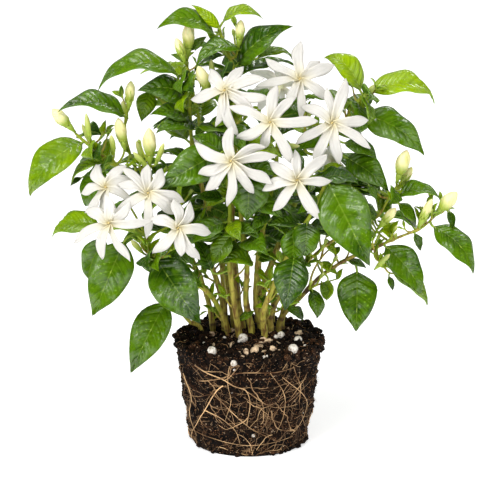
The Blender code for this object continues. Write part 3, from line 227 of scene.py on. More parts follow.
# Blooms: the stem, the pixel and depth of the throat, the way it faces, and the pixels of its petal tips
BLOOMS = {
    "bloom_1": ("stem_centre_blooms", (225, 90), -36, (-0.35, -0.9, 0.25), [
        (190, 102), (217, 127), (233, 138), (256, 116), (268, 99), (262, 75), (240, 68), (213, 78)]),
    "bloom_2": ("stem_right_top", (300, 79), -24, (0.0, -0.8, 0.45), [
        (298, 38), (318, 60), (335, 61), (330, 98), (303, 116), (286, 106), (256, 82), (264, 60)]),
    "bloom_3": ("stem_centre_right", (270, 122), -46, (-0.1, -1.0, 0.15), [
        (274, 85), (229, 105), (236, 140), (262, 148), (293, 168), (318, 121), (293, 97)]),
    "bloom_4": ("stem_right_top", (332, 123), -34, (0.15, -0.95, 0.2), [
        (350, 79), (369, 121), (375, 150), (342, 164), (310, 172), (295, 141), (304, 104), (326, 88)]),
    "bloom_5": ("stem_front_left", (231, 161), -56, (-0.05, -1.0, 0.05), [
        (229, 127), (193, 147), (197, 174), (208, 194), (229, 208), (252, 196), (275, 183), (277, 156),
        (264, 144)]),
    "bloom_6": ("stem_centre_right", (297, 180), -52, (0.05, -1.0, 0.1), [
        (298, 151), (329, 157), (332, 184), (319, 221), (275, 213), (262, 188), (270, 163)]),
    "bloom_7": ("stem_left_blooms", (106, 187), -48, (-0.3, -0.85, 0.35), [
        (98, 172), (119, 168), (127, 182), (126, 198), (112, 212), (99, 216), (84, 214), (83, 190)]),
    "bloom_8": ("stem_left_blooms", (148, 193), -56, (0.1, -0.9, 0.3), [
        (125, 166), (147, 174), (162, 172), (185, 199), (176, 215), (148, 238), (115, 214), (118, 183)]),
    "bloom_9": ("stem_left_blooms", (109, 223), -66, (-0.25, -0.95, 0.1), [
        (70, 242), (97, 260), (129, 262), (149, 223), (127, 207), (108, 201), (91, 212)]),
    "bloom_10": ("stem_left_blooms", (178, 228), -64, (0.2, -0.95, 0.15), [
        (193, 206), (176, 207), (151, 218), (154, 254), (181, 245), (200, 262), (213, 234)]),
}

# Cream buds: the stem, the pixels of base and tip, the depth of the base and the widest radius in mm
BUDS = {
    "bud_1": ("stem_left_buds", (71, 128), (52, 109), -14, 4.3),
    "bud_2": ("stem_upper_left", (188, 53), (189, 21), -2, 4.2),
    "bud_3": ("stem_left_buds", (150, 160), (149, 128), -20, 4.6),
    "bud_4": ("stem_left_buds", (129, 104), (131, 81), -8, 3.4),
    "bud_5": ("stem_left_buds", (124, 146), (118, 118), -16, 4.0),
    "bud_6": ("stem_top", (239, 42), (241, 20), -2, 3.3),
    "bud_7": ("stem_right_buds", (398, 178), (407, 150), -14, 4.8),
    "bud_8": ("stem_right_low", (438, 212), (457, 192), -16, 4.8),
    "bud_9": ("stem_upper_left", (209, 92), (198, 66), -18, 4.2),
    "bud_10": ("stem_upper_left", (183, 57), (176, 38), -8, 2.9),
    "bud_11": ("stem_right_buds", (382, 224), (396, 208), -18, 3.2),
    "bud_12": ("stem_right_low", (421, 222), (432, 199), -20, 3.0),
    "bud_13": ("stem_right_buds", (402, 184), (412, 167), -4, 2.8),
}

# Small green buds, fused to their stems: the stem, the pixels of base and tip, and the depth
GREEN_BUDS = [
    ("stem_left_buds", (90, 142), (86, 113), -20),
    ("stem_left_buds", (92, 146), (82, 124), -6),
    ("stem_left_buds", (98, 160), (91, 149), -20),
    ("stem_left_buds", (114, 152), (111, 135), -20),
    ("stem_left_buds", (146, 166), (136, 141), -8),
    ("stem_left_buds", (148, 168), (133, 152), -20),
    ("stem_left_buds", (156, 164), (164, 143), -22),
    ("stem_left_buds", (127, 116), (122, 101), -2),
    ("stem_top", (213, 78), (211, 59), -6),
    ("stem_right_buds", (380, 232), (396, 222), -4),
    ("stem_right_low", (376, 268), (390, 254), -22),
    ("stem_left_blooms", (142, 252), (131, 240), -50),
    ("stem_centre_right", (279, 146), (300, 146), -30),
    ("stem_right_top", (364, 98), (376, 84), -8),
]

# The sides and back, which the photograph hides: one stem for each bearing in degrees, seen from
# above and counted from +X, with its reach outwards and its height in mm
HIDDEN_STEMS = [(30, 48, 92), (52, 42, 88), (76, 36, 136), (104, 46, 92), (128, 36, 152), (160, 48, 92)]
HIDDEN_RADII = (1.8, 0.9)       # mm, at foot and tip
HIDDEN_STEPS = 5                # stretches of a hidden stem
HIDDEN_LEAN = 1.6               # power by which it leans out more and more
HIDDEN_SEED = 7
BACK_SEED = 23
# Leaves at the back of the stems that the photograph shows: the stem, and how far up it they grow
BACK_LEAVES = {
    "stem_left_buds": (0.45, 0.6, 0.75),
    "stem_upper_left": (0.5, 0.62, 0.74, 0.86),
    "stem_top": (0.5, 0.6, 0.7, 0.8, 0.9),
    "stem_centre_blooms": (0.7, 0.9),
    "stem_centre_right": (0.7, 0.9),
    "stem_right_top": (0.5, 0.62, 0.74, 0.86),
    "stem_right_buds": (0.6, 0.8),
}
BACK_BEARINGS = (35, 145)       # degrees
HIDDEN_BLOOM_BEARINGS = (52, 76, 104)
HIDDEN_BLOOM_REACH = 24         # mm outwards from the stem's tip
HIDDEN_BLOOM_RISE = 4           # mm
HIDDEN_BLOOM_TILT = 0.5         # upward share of the way it faces
HIDDEN_PETALS = 8
HIDDEN_PETAL_LENGTH = 22        # mm
HIDDEN_LEVELS = 5
HIDDEN_FOOT_RADIUS = 24 * MM
HIDDEN_LEAF_LENGTHS = (34, 48)  # mm
HIDDEN_LEAF_WIDTH = 0.54        # share of its length
HIDDEN_STALK = 6 * MM
HIDDEN_DROOP = 0.22             # share of its length by which the tip hangs
HIDDEN_ARCH = 0.1               # share of its length
LEAF_TURN = math.radians(90)    # each pair of leaves stands across the one below it
CROWN_MIDDLE = Vector((243, 168))   # pixel: the hidden leaves stay inside this oval of the outline
CROWN_RADII = (158, 128)        # pixels
# Places where the photograph sees through between the stems: left, top, right and bottom pixel
OPEN_WINDOWS = [(206, 262, 292, 330), (300, 238, 345, 300)]
DEPTH_SHIFTS = (0, -4, 4, -8, 8, -12, 12, -17, 17, -22, 22, -28, 28)    # mm, tried in turn
BEARING_SHIFTS = (0, 18, -18, 36, -36, 54, -54)                         # degrees, tried in turn
SIZE_TRIES = (1.0, 0.85, 0.7)

# Fine surfaces
LEAF_STEP = 1.8 * MM            # between two rows of a leaf's points
LEAF_ROWS = (10, 34)            # fewest and most rows on a leaf
LEAF_COLUMNS = 11               # points across it
LEAF_TWIST = 0.35               # radians, from stalk to tip
LEAF_FINE_THICKNESS = 0.45 * MM
SIDE_VEINS = 8                  # pairs of side veins on a leaf
VEIN_SLANT = 0.2                # how far a side vein runs on towards the tip, as a share of the leaf
QUILT = 0.1                     # rise between side veins, as a share of the half width
EDGE_WAVE = 0.1                 # rise of the rim's waves, as a share of the half width
TIP_DROOP = 0.06                # share of its length by which a leaf's tip hangs
PETAL_ROWS = 19
PETAL_COLUMNS = 9
PETAL_START = 0.3               # mm from the throat's middle
PETAL_SWING = 1.6               # mm by which a petal's middle may stand aside
PETAL_HOOK = 2.4                # mm by which its tip may
PETAL_SINK = 0.8                # mm by which its foot lies in the throat
PETAL_ARCH = (-0.3, 0.9)        # mm on top of its curl
PETAL_BREADTHS = (0.76, 1.02)   # share of the full width
PETAL_BEND = 6 * MM             # how far the tips of the petals bend back, at most
PETAL_ROLL = 0.42               # radians: one edge of a petal lies over its neighbour's
PETAL_FINE_WIDTH = 7.5 * MM
PETAL_FINE_THICKNESS = 0.4 * MM
STEM_SIDES = 12
TWIG_SIDES = 8

# How young and bright each leaf of the table is, by its tip's pixel: 0 is dark, 1 is yellow-green, and dark
# tones are partly painted shade
LEAF_TONES = {
    (322, 56): 0.95, (192, 4): 1.0, (264, 17): 0.85, (438, 103): 0.95, (50, 236): 0.75, (155, 27): 0.6,
    (292, 24): 0.2, (94, 89): 0.6, (285, 311): 0.05, (360, 184): 0.0, (190, 136): 0.15, (370, 267): 0.4,
    (201, 325): 0.1, (92, 318): 0.45, (356, 333): 0.3, (130, 375): 0.5, (157, 189): 0.4, (427, 155): 0.55,
    (390, 191): 0.3, (27, 198): 0.75, (476, 275): 0.55, (423, 296): 0.35, (247, 222): 0.35, (141, 122): 0.7,
}
# Painted light: the other leaves' tones are set high to lift the shade inside the crown
SPARE_TONES = (0.2, 0.33, 0.44, 0.55, 0.67, 0.82)      # for the other leaves
LEAF_COAT = 0.35
# Half width of a leaf along its length: egg-shaped, with a drawn-out tip
LEAF_SHAPE = [
    (0, 0), (0.03, 0.2), (0.08, 0.5), (0.15, 0.77), (0.23, 0.94), (0.32, 1.0), (0.42, 0.98), (0.52, 0.9),
    (0.62, 0.76), (0.71, 0.59), (0.79, 0.41), (0.86, 0.25), (0.92, 0.13), (0.97, 0.06), (1, 0),
]
FILLER_LEVELS = 9               # pairs of filling leaves tried on each stem
FILLER_SPAN = (0.42, 0.97)      # where on a stem, as shares of its length
FILLER_LENGTHS = (16, 34)       # mm
FILLER_DROOP = 0.25             # share of its length by which the tip hangs
FILLER_STALK = 4                # mm
FILLER_WIDTH = 0.52             # share of its length
FILLER_ARCH = 0.09              # share of its length
FILLER_SEED = 41
# Small gaps of the photograph's crown, kept free of filling leaves: left, top, right, bottom pixel
SMALL_GAPS = [(221, 214, 231, 238), (264, 228, 279, 253), (280, 240, 291, 258)]
STEM_SHOOTS = 6                 # side shoots tried on a stem
TWIG_SHOOTS = 4
SHOOTS = {"stem_right_low": 34, "stem_right_buds": 24, "stem_right_top": 14, "stem_left_blooms": 18,
          "stem_left_buds": 18, "stem_upper_left": 10, "stem_centre_right": 9}
SHOOT_SPAN = (0.2, 1.0)         # where on a stem, as shares of its points
SHOOT_LENGTHS = (5, 15)         # mm
SHOOT_LEAVES = (4, 10)          # mm
SHOOT_BUDS = 0.35               # of the shoots bear a green bud
SHOOT_MARGIN = 9 * MM           # from the sides of the model's box
SHOOT_TRIES = 5
SHOOT_SIDES = 6
SHOOT_BEND = 0.55               # share of its length at which a shoot turns up
SHOOT_RISE = (0.2, 1.1)         # how steeply it leaves the stem
SHOOT_UPTURN = 0.6
SHOOT_STALK = 1.6               # mm, of its leaves
SHOOT_LEAF_WIDTHS = (0.42, 0.56)                # share of their length
SHOOT_TONES = (0.8, 1.3)        # of its leaves
SHOOT_BUD_LENGTHS = (3.2, 6.0)  # mm
SHOOT_BUD_RADII = (0.8, 1.15)   # mm
SHOOT_CUP_SIZE = 0.55           # of a shoot bud's calyx against a bloom's
SHOOT_CUP_DROP = 0.6 * MM       # how far that calyx stands below the bud
SHOOT_RADII = (0.75, 0.4)       # mm, at foot and tip
SHOOT_SEED = 73
# Painted light: the tones of small leaves are lifted against the shade that falls on them
MARKED_BRIGHTNESS = 1.2         # of the tones of small leaves
MARKED_STALK = 1.5              # mm by which a small leaf's base stands nearer than its stem
MARKED_LEAN = 3                 # and its tip
MARKED_WIDTH = 0.5              # share of its length
MARKED_ARCH = 0.12              # share of its length
# Thin dark twigs that the photograph shows: their pixels, from the stem outwards
MARKED_TWIGS = [
    [(256, 303), (262, 286), (271, 264), (278, 247), (283, 236)],
    [(277, 250), (283, 244), (288, 241)],
    [(307, 288), (313, 272), (322, 257), (332, 247), (341, 238)],
    [(320, 259), (324, 246), (327, 233)],
    [(307, 288), (320, 284), (337, 279)],
    [(216, 241), (212, 230), (211, 219)],
    [(231, 234), (226, 226), (221, 219)],
    [(378, 270), (388, 272), (397, 274)],
]
# Small leaves that the photograph shows: pixels of foot and tip, and the tone of each, partly painted shade
# where low
MARKED_LEAVES = [
    (312, 290, 318, 319, 0.3), (322, 283, 327, 301, 0.6), (319, 263, 338, 275, 0.7),
    (325, 243, 337, 256, 0.8), (349, 261, 367, 268, 0.2), (382, 267, 380, 252, 1.0),
    (384, 268, 390, 256, 0.9), (389, 277, 393, 291, 0.15), (399, 204, 417, 224, 0.4),
    (415, 234, 421, 251, 0.3), (450, 212, 453, 229, 0.2), (380, 190, 362, 183, 0.5),
    (369, 186, 377, 201, 0.4), (388, 233, 381, 215, 0.95), (391, 233, 399, 220, 0.85),
    (390, 237, 380, 230, 1.0), (392, 200, 386, 190, 0.95), (395, 197, 404, 190, 0.85),
    (323, 171, 343, 165, 0.8), (286, 305, 301, 319, 0.35), (253, 312, 237, 323, 0.6),
    (276, 298, 261, 305, 0.45), (271, 307, 254, 307, 0.9), (259, 254, 275, 261, 0.3),
    (275, 227, 282, 239, 0.85), (262, 237, 266, 249, 0.7), (260, 269, 263, 282, 0.9),
    (235, 274, 239, 284, 0.85), (328, 236, 335, 226, 0.8), (341, 240, 350, 231, 0.75),
    (296, 286, 289, 274, 0.6), (337, 279, 343, 268, 0.8), (150, 250, 139, 236, 0.9),
    (152, 252, 160, 238, 0.8), (81, 178, 70, 186, 0.1), (428, 204, 434, 193, 0.9),
    (356, 251, 349, 240, 0.7), (363, 248, 370, 237, 0.8), (212, 220, 206, 209, 0.4),
    (222, 221, 229, 211, 0.5), (366, 106, 358, 94, 1.0), (362, 108, 371, 97, 0.95),
    (352, 112, 345, 103, 0.9), (240, 118, 232, 110, 0.9), (244, 120, 250, 112, 0.95),
    (296, 150, 306, 143, 1.0), (290, 152, 283, 158, 0.9), (203, 104, 196, 98, 0.9),
    (262, 148, 270, 141, 0.85), (246, 142, 238, 150, 0.8), (318, 168, 309, 176, 0.9),
    (145, 178, 138, 168, 0.9), (160, 180, 166, 169, 0.9), (128, 152, 121, 143, 0.85),
    (98, 150, 92, 140, 0.9), (213, 40, 206, 30, 0.9),
]
MARKED_SHIFTS = (0, -3, 3, -6, 6, -9)           # mm by which a marked leaf may stand nearer or farther
SMALL_ROWS = 7
SMALL_COLUMNS = 5
BLOOM_REACH = 27                # pixels
LEAF_ROUGHNESS = 0.38
NOISE_ROUGHNESS = 0.55          # of every noise pattern
WOODY_SHARE = 0.8               # of a stem's length, over which it turns from brown to green
WOOD_STEPS = 12                 # points of a stem's curve to each stretch of its path
# Thickness along a stem, against the model's
STEM_GIRTH = [(0, 1.3), (0.15, 1.2), (0.35, 1.0), (1, 0.85)]
RING_GAPS = (7 * MM, 14 * MM)
RING_WIDTH = 1.1 * MM
RING_SWELL = 0.13               # share by which a ring thickens the stem
KNOT_SWELL = 0.22               # and share by which a leaf's root does
KNOT_REACH = 1.8                # mm
DARK_THINNING = 0.28            # share by which the dark stems are thinner
DARK_STEMS = ("stem_right_low", "stem_right_buds")
DARK_TONES = [(0, 1.0), (0.3, 1.3), (0.55, 1.15), (0.8, 0.6), (1, 0.2)]
BUD_GIRTH = 0.86
CALYX_TEETH = 6
BUD_CALYX = 1.3                 # size of a cream bud's cup against a bloom's
CALYX_TOOTH = 4.6 * MM
BUD_ROWS = 26
BUD_SIDES = 30
TOOTH_SIDES = 5
TOOTH_RADII = (0.6, 0.62, 0.42, 0.1)            # mm, from foot to tip
TUBE_SIDES = 20
ANTHER_SIDES = 8
# Outlines: height or length, then width, as shares of the whole
PETAL_SHAPE = [(0, 0.55), (0.08, 0.68), (0.2, 0.8), (0.35, 0.88), (0.5, 0.96), (0.65, 1.0), (0.8, 0.8),
               (0.9, 0.48), (0.96, 0.22), (1.0, 0.03)]
BUD_PROFILE = [(0, 0.5), (0.08, 0.68), (0.2, 0.88), (0.35, 0.99), (0.52, 1.0), (0.68, 0.9), (0.82, 0.68),
               (0.92, 0.4), (0.98, 0.19), (1.0, 0.05)]
CALYX_CUP = [(-0.4, 0.35), (0, 0.5), (0.25, 0.75), (0.6, 0.95), (1.0, 1.0), (0.92, 0.8), (0.5, 0.5)]
# Outlines: height as a share of the tube's length, or in mm for the anther, then radius in mm
FLOWER_TUBE = [(0, 1.0), (0.3, 1.05), (0.6, 1.15), (0.85, 1.3), (0.95, 1.6), (1.0, 2.5), (0.985, 2.35),
               (0.93, 1.25), (0.8, 0.95), (0.6, 0.8)]
ANTHER = [(0, 0.2), (0.6, 0.5), (1.3, 0.62), (2.0, 0.45), (2.5, 0.05)]

# Soil and roots
SOIL_ROWS = 90
SOIL_COLUMNS = 350
SOIL_TOP_ROWS = 45
TOP_CRUMBS = 450
SIDE_CRUMBS = 650
HIDDEN_PERLITE = 7
SIDE_PERLITE = 14
HIDDEN_CHIPS = 42
RIM_CRUMBS = 340
ROOT_SWAY = 2.0 * MM            # wander of a root about its line
SMALL_CRUMBS = 1100
LONG_ROOTS = 6
LOW_ROOTS = 10
FINE_ROOTS = 60
FRAYED_FIBRES = 480
ROOT_STEPS = 4                  # points of a root's curve to each stretch of its marks
FOOT_CRUMBS = 130
ROOT_RISE = 0.8 * MM            # how far the thicker roots stand off the soil
SOIL_GRAIN = 5.5                # mm, the size of its clods
HAIR_RADIUS = 0.2 * MM          # roots thinner than this are pale hairs
TOP_FIBRES = 90
ROOT_SIDES = 5
FIBRE_SIDES = 4
PHOTO_ROOT_SHARE = 0.58         # thickness of a seen root against the table's
SIDE_ROOT_SHARE = 0.3
HEAP_CRUMBS = 7
TOP_CRUMB_SIZE = 2.9            # mm, the largest radius of each kind
SIDE_CRUMB_SIZE = 2.1
RIM_CRUMB_SIZE = 2.5
FOOT_CRUMB_SIZE = 1.9
SMALL_CRUMB_SIZES = (0.25, 0.7)                 # mm, least and largest radius
HIDDEN_PERLITE_SIZES = (0.5, 1.8)
SIDE_PERLITE_SIZES = (0.4, 1.1)
HIDDEN_CHIP_SIZES = (1.0, 2.2)
LONG_ROOT_SIZES = (0.25, 0.42)  # radii in mm
LOW_ROOT_SIZES = (0.2, 0.4)
FINE_ROOT_SIZES = (0.09, 0.16)
FRAYED_LENGTHS = (1.2, 3.2)     # mm
FRAYED_RADII = (0.16, 0.07)     # mm, at foot and tip
TOP_FIBRE_RADII = (0.2, 0.1)
SOIL_SEED = 11
GRAIN_SEED = 31
ROOT_SEED = 17
# Seen on top of the soil: pixel and radius in mm
CRUMB_HEAPS = [
    (213, 318, 3.6), (293, 324, 3.2), (306, 327, 3.6), (181, 335, 3.2), (196, 328, 2.6), (315, 333, 2.8),
]
PERLITE = [
    (243, 338, 3.0), (212, 351, 2.9), (293, 349, 3.1), (281, 335, 2.3), (298, 340, 2.6), (234, 360, 1.9),
    (264, 357, 1.0), (204, 343, 0.9), (305, 346, 1.1), (222, 334, 0.9),
]
BARK_CHIPS = [
    (254, 351, 2.7), (258, 347, 2.2), (268, 342, 2.3), (273, 349, 1.6), (246, 352, 1.6), (298, 333, 2.0),
    (263, 340, 1.4), (212, 334, 1.6), (232, 343, 1.1), (272, 334, 1.3), (302, 343, 1.3), (243, 357, 1.0),
]
# Roots seen on the front of the ball: radius in mm and pixels
PHOTO_ROOTS = [
    (0.75, [(200, 380), (220, 378), (240, 373), (270, 372), (292, 367)]),
    (0.7, [(195, 365), (215, 375), (235, 385), (248, 392), (249, 410), (247, 425)]),
    (0.65, [(224, 386), (215, 393), (205, 410), (197, 425), (193, 438)]),
    (0.6, [(212, 392), (230, 410), (250, 427), (262, 435), (278, 441)]),
    (0.5, [(292, 367), (300, 385), (298, 405), (303, 425)]),
    (0.5, [(184, 372), (192, 395), (190, 415), (198, 436)]),
    (0.45, [(248, 392), (262, 402), (278, 408), (296, 404)]),
    (0.45, [(270, 372), (282, 390), (284, 412), (276, 432)]),
    (0.4, [(205, 410), (222, 418), (236, 430), (240, 443)]),
    (0.4, [(306, 372), (296, 390), (288, 400), (270, 415), (256, 440)]),
    (0.4, [(192, 428), (212, 438), (236, 444), (262, 444), (292, 436)]),
    (0.35, [(230, 366), (228, 384), (232, 400), (226, 420)]),
    (0.35, [(282, 378), (296, 388), (306, 402), (302, 418), (290, 434)]),
    (0.35, [(215, 393), (200, 396), (186, 394)]),
]

# Stage
SENSOR = 36.0                   # mm
CLIP_SPAN = (0.05, 20)          # metres from the camera
FLOOR_REACH = 6.0
SKY_STRENGTH = 0.42
FLOOR_GLOW = 0.5
SUN_POWER = 1.1
SUN_SPREAD = math.radians(45)
SUN_FROM = Vector((-0.25, -0.65, 1.3))
LIGHT_AIM = Vector((0, 0, 120 * MM))
LIGHTS = [
    ("softbox", (-0.6, -0.9, 1.1), 0.8, 10, (1.0, 0.99, 0.97)),
    ("window", (-1.1, -1.2, 0.45), 0.9, 5, (1.0, 1.0, 1.0)),
    ("fill", (0.8, -0.9, 0.7), 0.4, 3, (1.0, 1.0, 1.0)),
    ("rim", (0.5, 1.1, 1.2), 0.6, 7, (1.0, 1.0, 1.0)),
]


def at(across, down, depth):
    """Point seen at a pixel of the photograph, at a depth in mm behind the middle plane."""
    ray = (FORWARD * (VIEW_DISTANCE / PIXEL) + Vector((across - VIEW_MIDDLE[0], 0, 0))
           - UPWARD * (down - VIEW_MIDDLE[1]))
    return EYE + ray * ((depth * MM - EYE.y) / ray.y)


def seen(point):
    """Pixel of the photograph at which a point is seen."""
    away = point - EYE
    scale = VIEW_DISTANCE / PIXEL / away.dot(FORWARD)
    return Vector((VIEW_MIDDLE[0] + away.x * scale, VIEW_MIDDLE[1] - away.dot(UPWARD) * scale))


def square_to(direction, line):
    """Unit vector along `direction` with its share along `line` taken out."""
    line = line.normalized()
    return (direction - line * direction.dot(line)).normalized()


def bow(start, end, middle, share):
    """Point at a share of the bent line from start to end, pulled towards `middle`."""
    return start * (1 - share) ** 2 + middle * 2 * share * (1 - share) + end * share ** 2


def toward(turn, rise=0.0):
    """Vector that points to a bearing, seen from above, and rises by so much."""
    return Vector((math.cos(turn), math.sin(turn), rise))


def path_point(path, along):
    """Point at a fractional place along a path's points."""
    index = int(along)
    return path[index].lerp(path[min(index + 1, len(path) - 1)], along % 1)


def first_found(tries):
    """The first of some tries that found room, in a list; an empty list if none did."""
    for made in tries:
        if made:
            return [made]
    return []


def nearest_on(path, point, flat=False):
    """Nearest point of a path of points, as seen by the viewer if `flat`."""
    best, best_distance = None, math.inf
    for start, end in zip(path, path[1:]):
        for step in range(9):
            spot = start.lerp(end, step / 8)
            distance = (seen(spot) - point).length if flat else (spot - point).length
            if distance < best_distance:
                best, best_distance = spot, distance
    return best


def stand(at_point, direction):
    """Matrix that stands a shape's Z axis along a direction, with its foot on a point."""
    return Matrix.Translation(at_point) @ direction.to_track_quat("Z", "Y").to_matrix().to_4x4()


def blade(mesh, rows):
    """Sheet of three columns into a bmesh: each row is its middle, its half width and its edges' rise."""
    count = len(rows) - 1
    made = bmesh.ops.create_grid(mesh, x_segments=2, y_segments=count, size=1)["verts"]
    for vert in made:
        column = round(vert.co.x)
        middle, half, rise = rows[round((vert.co.y + 1) / 2 * count)]
        vert.co = middle + half * column + rise * abs(column)
    bmesh.ops.remove_doubles(mesh, verts=made, dist=1e-7)


def thicken(mesh, thickness):
    """Turn a sheet into a closed solid, split into triangles alike on both faces."""
    bmesh.ops.triangulate(mesh, faces=mesh.faces)
    mesh.normal_update()
    bmesh.ops.solidify(mesh, geom=mesh.faces[:], thickness=thickness)
    bmesh.ops.triangulate(mesh, faces=mesh.faces)
    bmesh.ops.recalc_face_normals(mesh, faces=mesh.faces)
    return mesh


def leaf_width(share):
    """Half width of a leaf along its length: egg-shaped with a drawn-out tip."""
    return math.sin(math.pi * share ** 0.72) * (1 - 0.45 * share ** 4)


def leaf_mesh(leaf, grow=0.0, whole=True):
    """Solid of a leaf with its stalk, or of its blade alone."""
    base, tip, up = leaf["base"], leaf["tip"], leaf["up"]
    side = (tip - base).cross(up).normalized()
    middle = (base + tip) / 2 + up * leaf["arch"] * 2
    length = (tip - base).length
    shares = (0.17, 0.42, 0.74) if length > LARGE_LEAF else (0.3, 0.68) if length > SMALL_LEAF else (0.4,)
    stalk = side * (PETIOLE_WIDTH / 2 + grow)
    rows = [(leaf["root"], stalk, Vector())] if whole else []
    rows.append((base, stalk, Vector()))
    for share in shares:
        half = leaf["width"] / 2 * leaf_width(share) + grow
        rise = up * half * math.sin(LEAF_FOLD)
        rows.append((bow(base, tip, middle, share), side * half * math.cos(LEAF_FOLD), rise))
    rows.append((tip, Vector(), Vector()))
    mesh = bmesh.new()
    blade(mesh, rows)
    shift = up * (LEAF_THICKNESS / 2 + grow)
    for vert in mesh.verts:
        vert.co += shift
    return thicken(mesh, LEAF_THICKNESS + 2 * grow)


def bloom_mesh(bloom, grow=0.0):
    """Solid of a star of petals round a flat throat."""
    throat, axis = bloom["throat"], bloom["axis"]
    across = square_to(Vector((1, 0, 0)), axis)
    up = axis.cross(across)
    petals = []
    for tip in bloom["tips"]:
        flat = tip - throat
        petals.append((math.atan2(flat.dot(up), flat.dot(across)) % math.tau, tip))
    petals.sort(key=lambda petal: petal[0])
    mesh = bmesh.new()
    for index, (angle, tip) in enumerate(petals):
        before = (angle - petals[index - 1][0]) % math.tau / 2
        after = (petals[(index + 1) % len(petals)][0] - angle) % math.tau / 2
        ring = [throat + (across * math.cos(turn) + up * math.sin(turn)) * THROAT_RADIUS
                for turn in (angle - before, angle, angle + after)]
        middle = throat.lerp(tip, 0.5) + axis * PETAL_CURL
        room = (middle - throat).length * math.sin(min(before, after, math.pi / 2)) * PETAL_SPREAD
        half = axis.cross(tip - throat).normalized() * (min(PETAL_WIDTH / 2, room) + grow)
        rows = [(throat, throat, throat), ring, (middle - half, middle, middle + half), (tip, tip, tip)]
        made = bmesh.ops.create_grid(mesh, x_segments=2, y_segments=3, size=1)["verts"]
        for vert in made:
            vert.co = rows[round((vert.co.y + 1) / 2 * 3)][round(vert.co.x) + 1]
    bmesh.ops.remove_doubles(mesh, verts=mesh.verts, dist=1e-6)
    for vert in mesh.verts:
        vert.co -= axis * (PETAL_THICKNESS / 2 + grow)
    return thicken(mesh, PETAL_THICKNESS + 2 * grow)


def turned_mesh(foot, direction, profile, sides):
    """Solid turned from (height, radius) rings between a middle point at each end."""
    mesh = bmesh.new()
    bmesh.ops.create_uvsphere(mesh, u_segments=sides, v_segments=len(profile) + 1, radius=1)
    levels = sorted({round(vert.co.z, 4) for vert in mesh.verts})
    rings = [(profile[0][0], 0.0)] + list(profile) + [(profile[-1][0], 0.0)]
    for vert in mesh.verts:
        height, radius = rings[levels.index(round(vert.co.z, 4))]
        flat = Vector((vert.co.x, vert.co.y, 0))
        if flat.length > 1e-6:
            flat = flat.normalized() * radius
        vert.co = flat + Vector((0, 0, height))
    mesh.transform(stand(foot, direction))
    return mesh


def bud_mesh(bud, grow=0.0):
    """Solid of a bud: a narrow flat foot, a swollen middle and a blunt tip."""
    length, radius = bud["length"], bud["radius"] + grow
    profile = [(length * along, radius * wide) for along, wide in BUD_RINGS]
    mesh = turned_mesh(bud["foot"], bud["axis"], profile, bud["sides"])
    tip = bud["foot"] + bud["axis"] * profile[-1][0]
    for vert in mesh.verts:
        if (vert.co - tip).length < 1e-6:
            vert.co = bud["foot"] + bud["axis"] * length
    bmesh.ops.recalc_face_normals(mesh, faces=mesh.faces)
    return mesh


def tube_mesh(points, radii, corners):
    """Closed tube along points, from a curve whose caps are welded."""
    curve = bpy.data.curves.new("tube", "CURVE")
    curve.dimensions = "3D"
    curve.bevel_depth = 1.0
    curve.bevel_resolution = corners
    curve.use_fill_caps = True
    spline = curve.splines.new("POLY")
    spline.points.add(len(points) - 1)
    for knot, point, radius in zip(spline.points, points, radii):
        knot.co = (*point, 1)
        knot.radius = radius
    holder = bpy.data.objects.new("tube", curve)
    bpy.context.collection.objects.link(holder)
    made = bpy.data.meshes.new_from_object(holder.evaluated_get(bpy.context.evaluated_depsgraph_get()))
    bpy.data.objects.remove(holder)
    bpy.data.curves.remove(curve)
    mesh = bmesh.new()
    mesh.from_mesh(made)
    bpy.data.meshes.remove(made)
    bmesh.ops.remove_doubles(mesh, verts=mesh.verts, dist=1e-6)
    bmesh.ops.recalc_face_normals(mesh, faces=mesh.faces)
    return mesh


class Room:
    """What is placed so far, so that each later leaf, petal or twig is kept only where it is clear of it."""

    def __init__(self):
        self.taken = []

    def take(self, node, mesh, kind=""):
        """Note a mesh of a node as placed."""
        low = [min(vert.co[axis] for vert in mesh.verts) for axis in range(3)]
        high = [max(vert.co[axis] for vert in mesh.verts) for axis in range(3)]
        self.taken.append((node, kind, BVHTree.FromBMesh(mesh), low, high))

    def near(self, low, high):
        """What is placed in or round a box."""
        return [row for row in self.taken
                if all(row[3][axis] < high[axis] and row[4][axis] > low[axis] for axis in range(3))]

    def clear(self, node, mesh, own_kind=None):
        """Whether a mesh crosses no other node's, nor its own node's pieces of one kind."""
        low = [min(vert.co[axis] for vert in mesh.verts) for axis in range(3)]
        high = [max(vert.co[axis] for vert in mesh.verts) for axis in range(3)]
        tree = BVHTree.FromBMesh(mesh)
        for owner, kind, other, _, _ in self.near(low, high):
            if owner == node and kind != own_kind:
                continue
            if tree.overlap(other):
                return False
        return True

    def clear_line(self, node, points, radius):
        """Whether a thin twig along points stays clear of every other node."""
        for start, end in zip(points, points[1:]):
            steps = max(1, int((end - start).length / MM))
            for step in range(steps + 1):
                spot = start.lerp(end, step / steps)
                low = [value - radius for value in spot]
                high = [value + radius for value in spot]
                for owner, _, other, _, _ in self.near(low, high):
                    if owner != node and other.find_nearest(spot, radius)[0] is not None:
                        return False
        return True


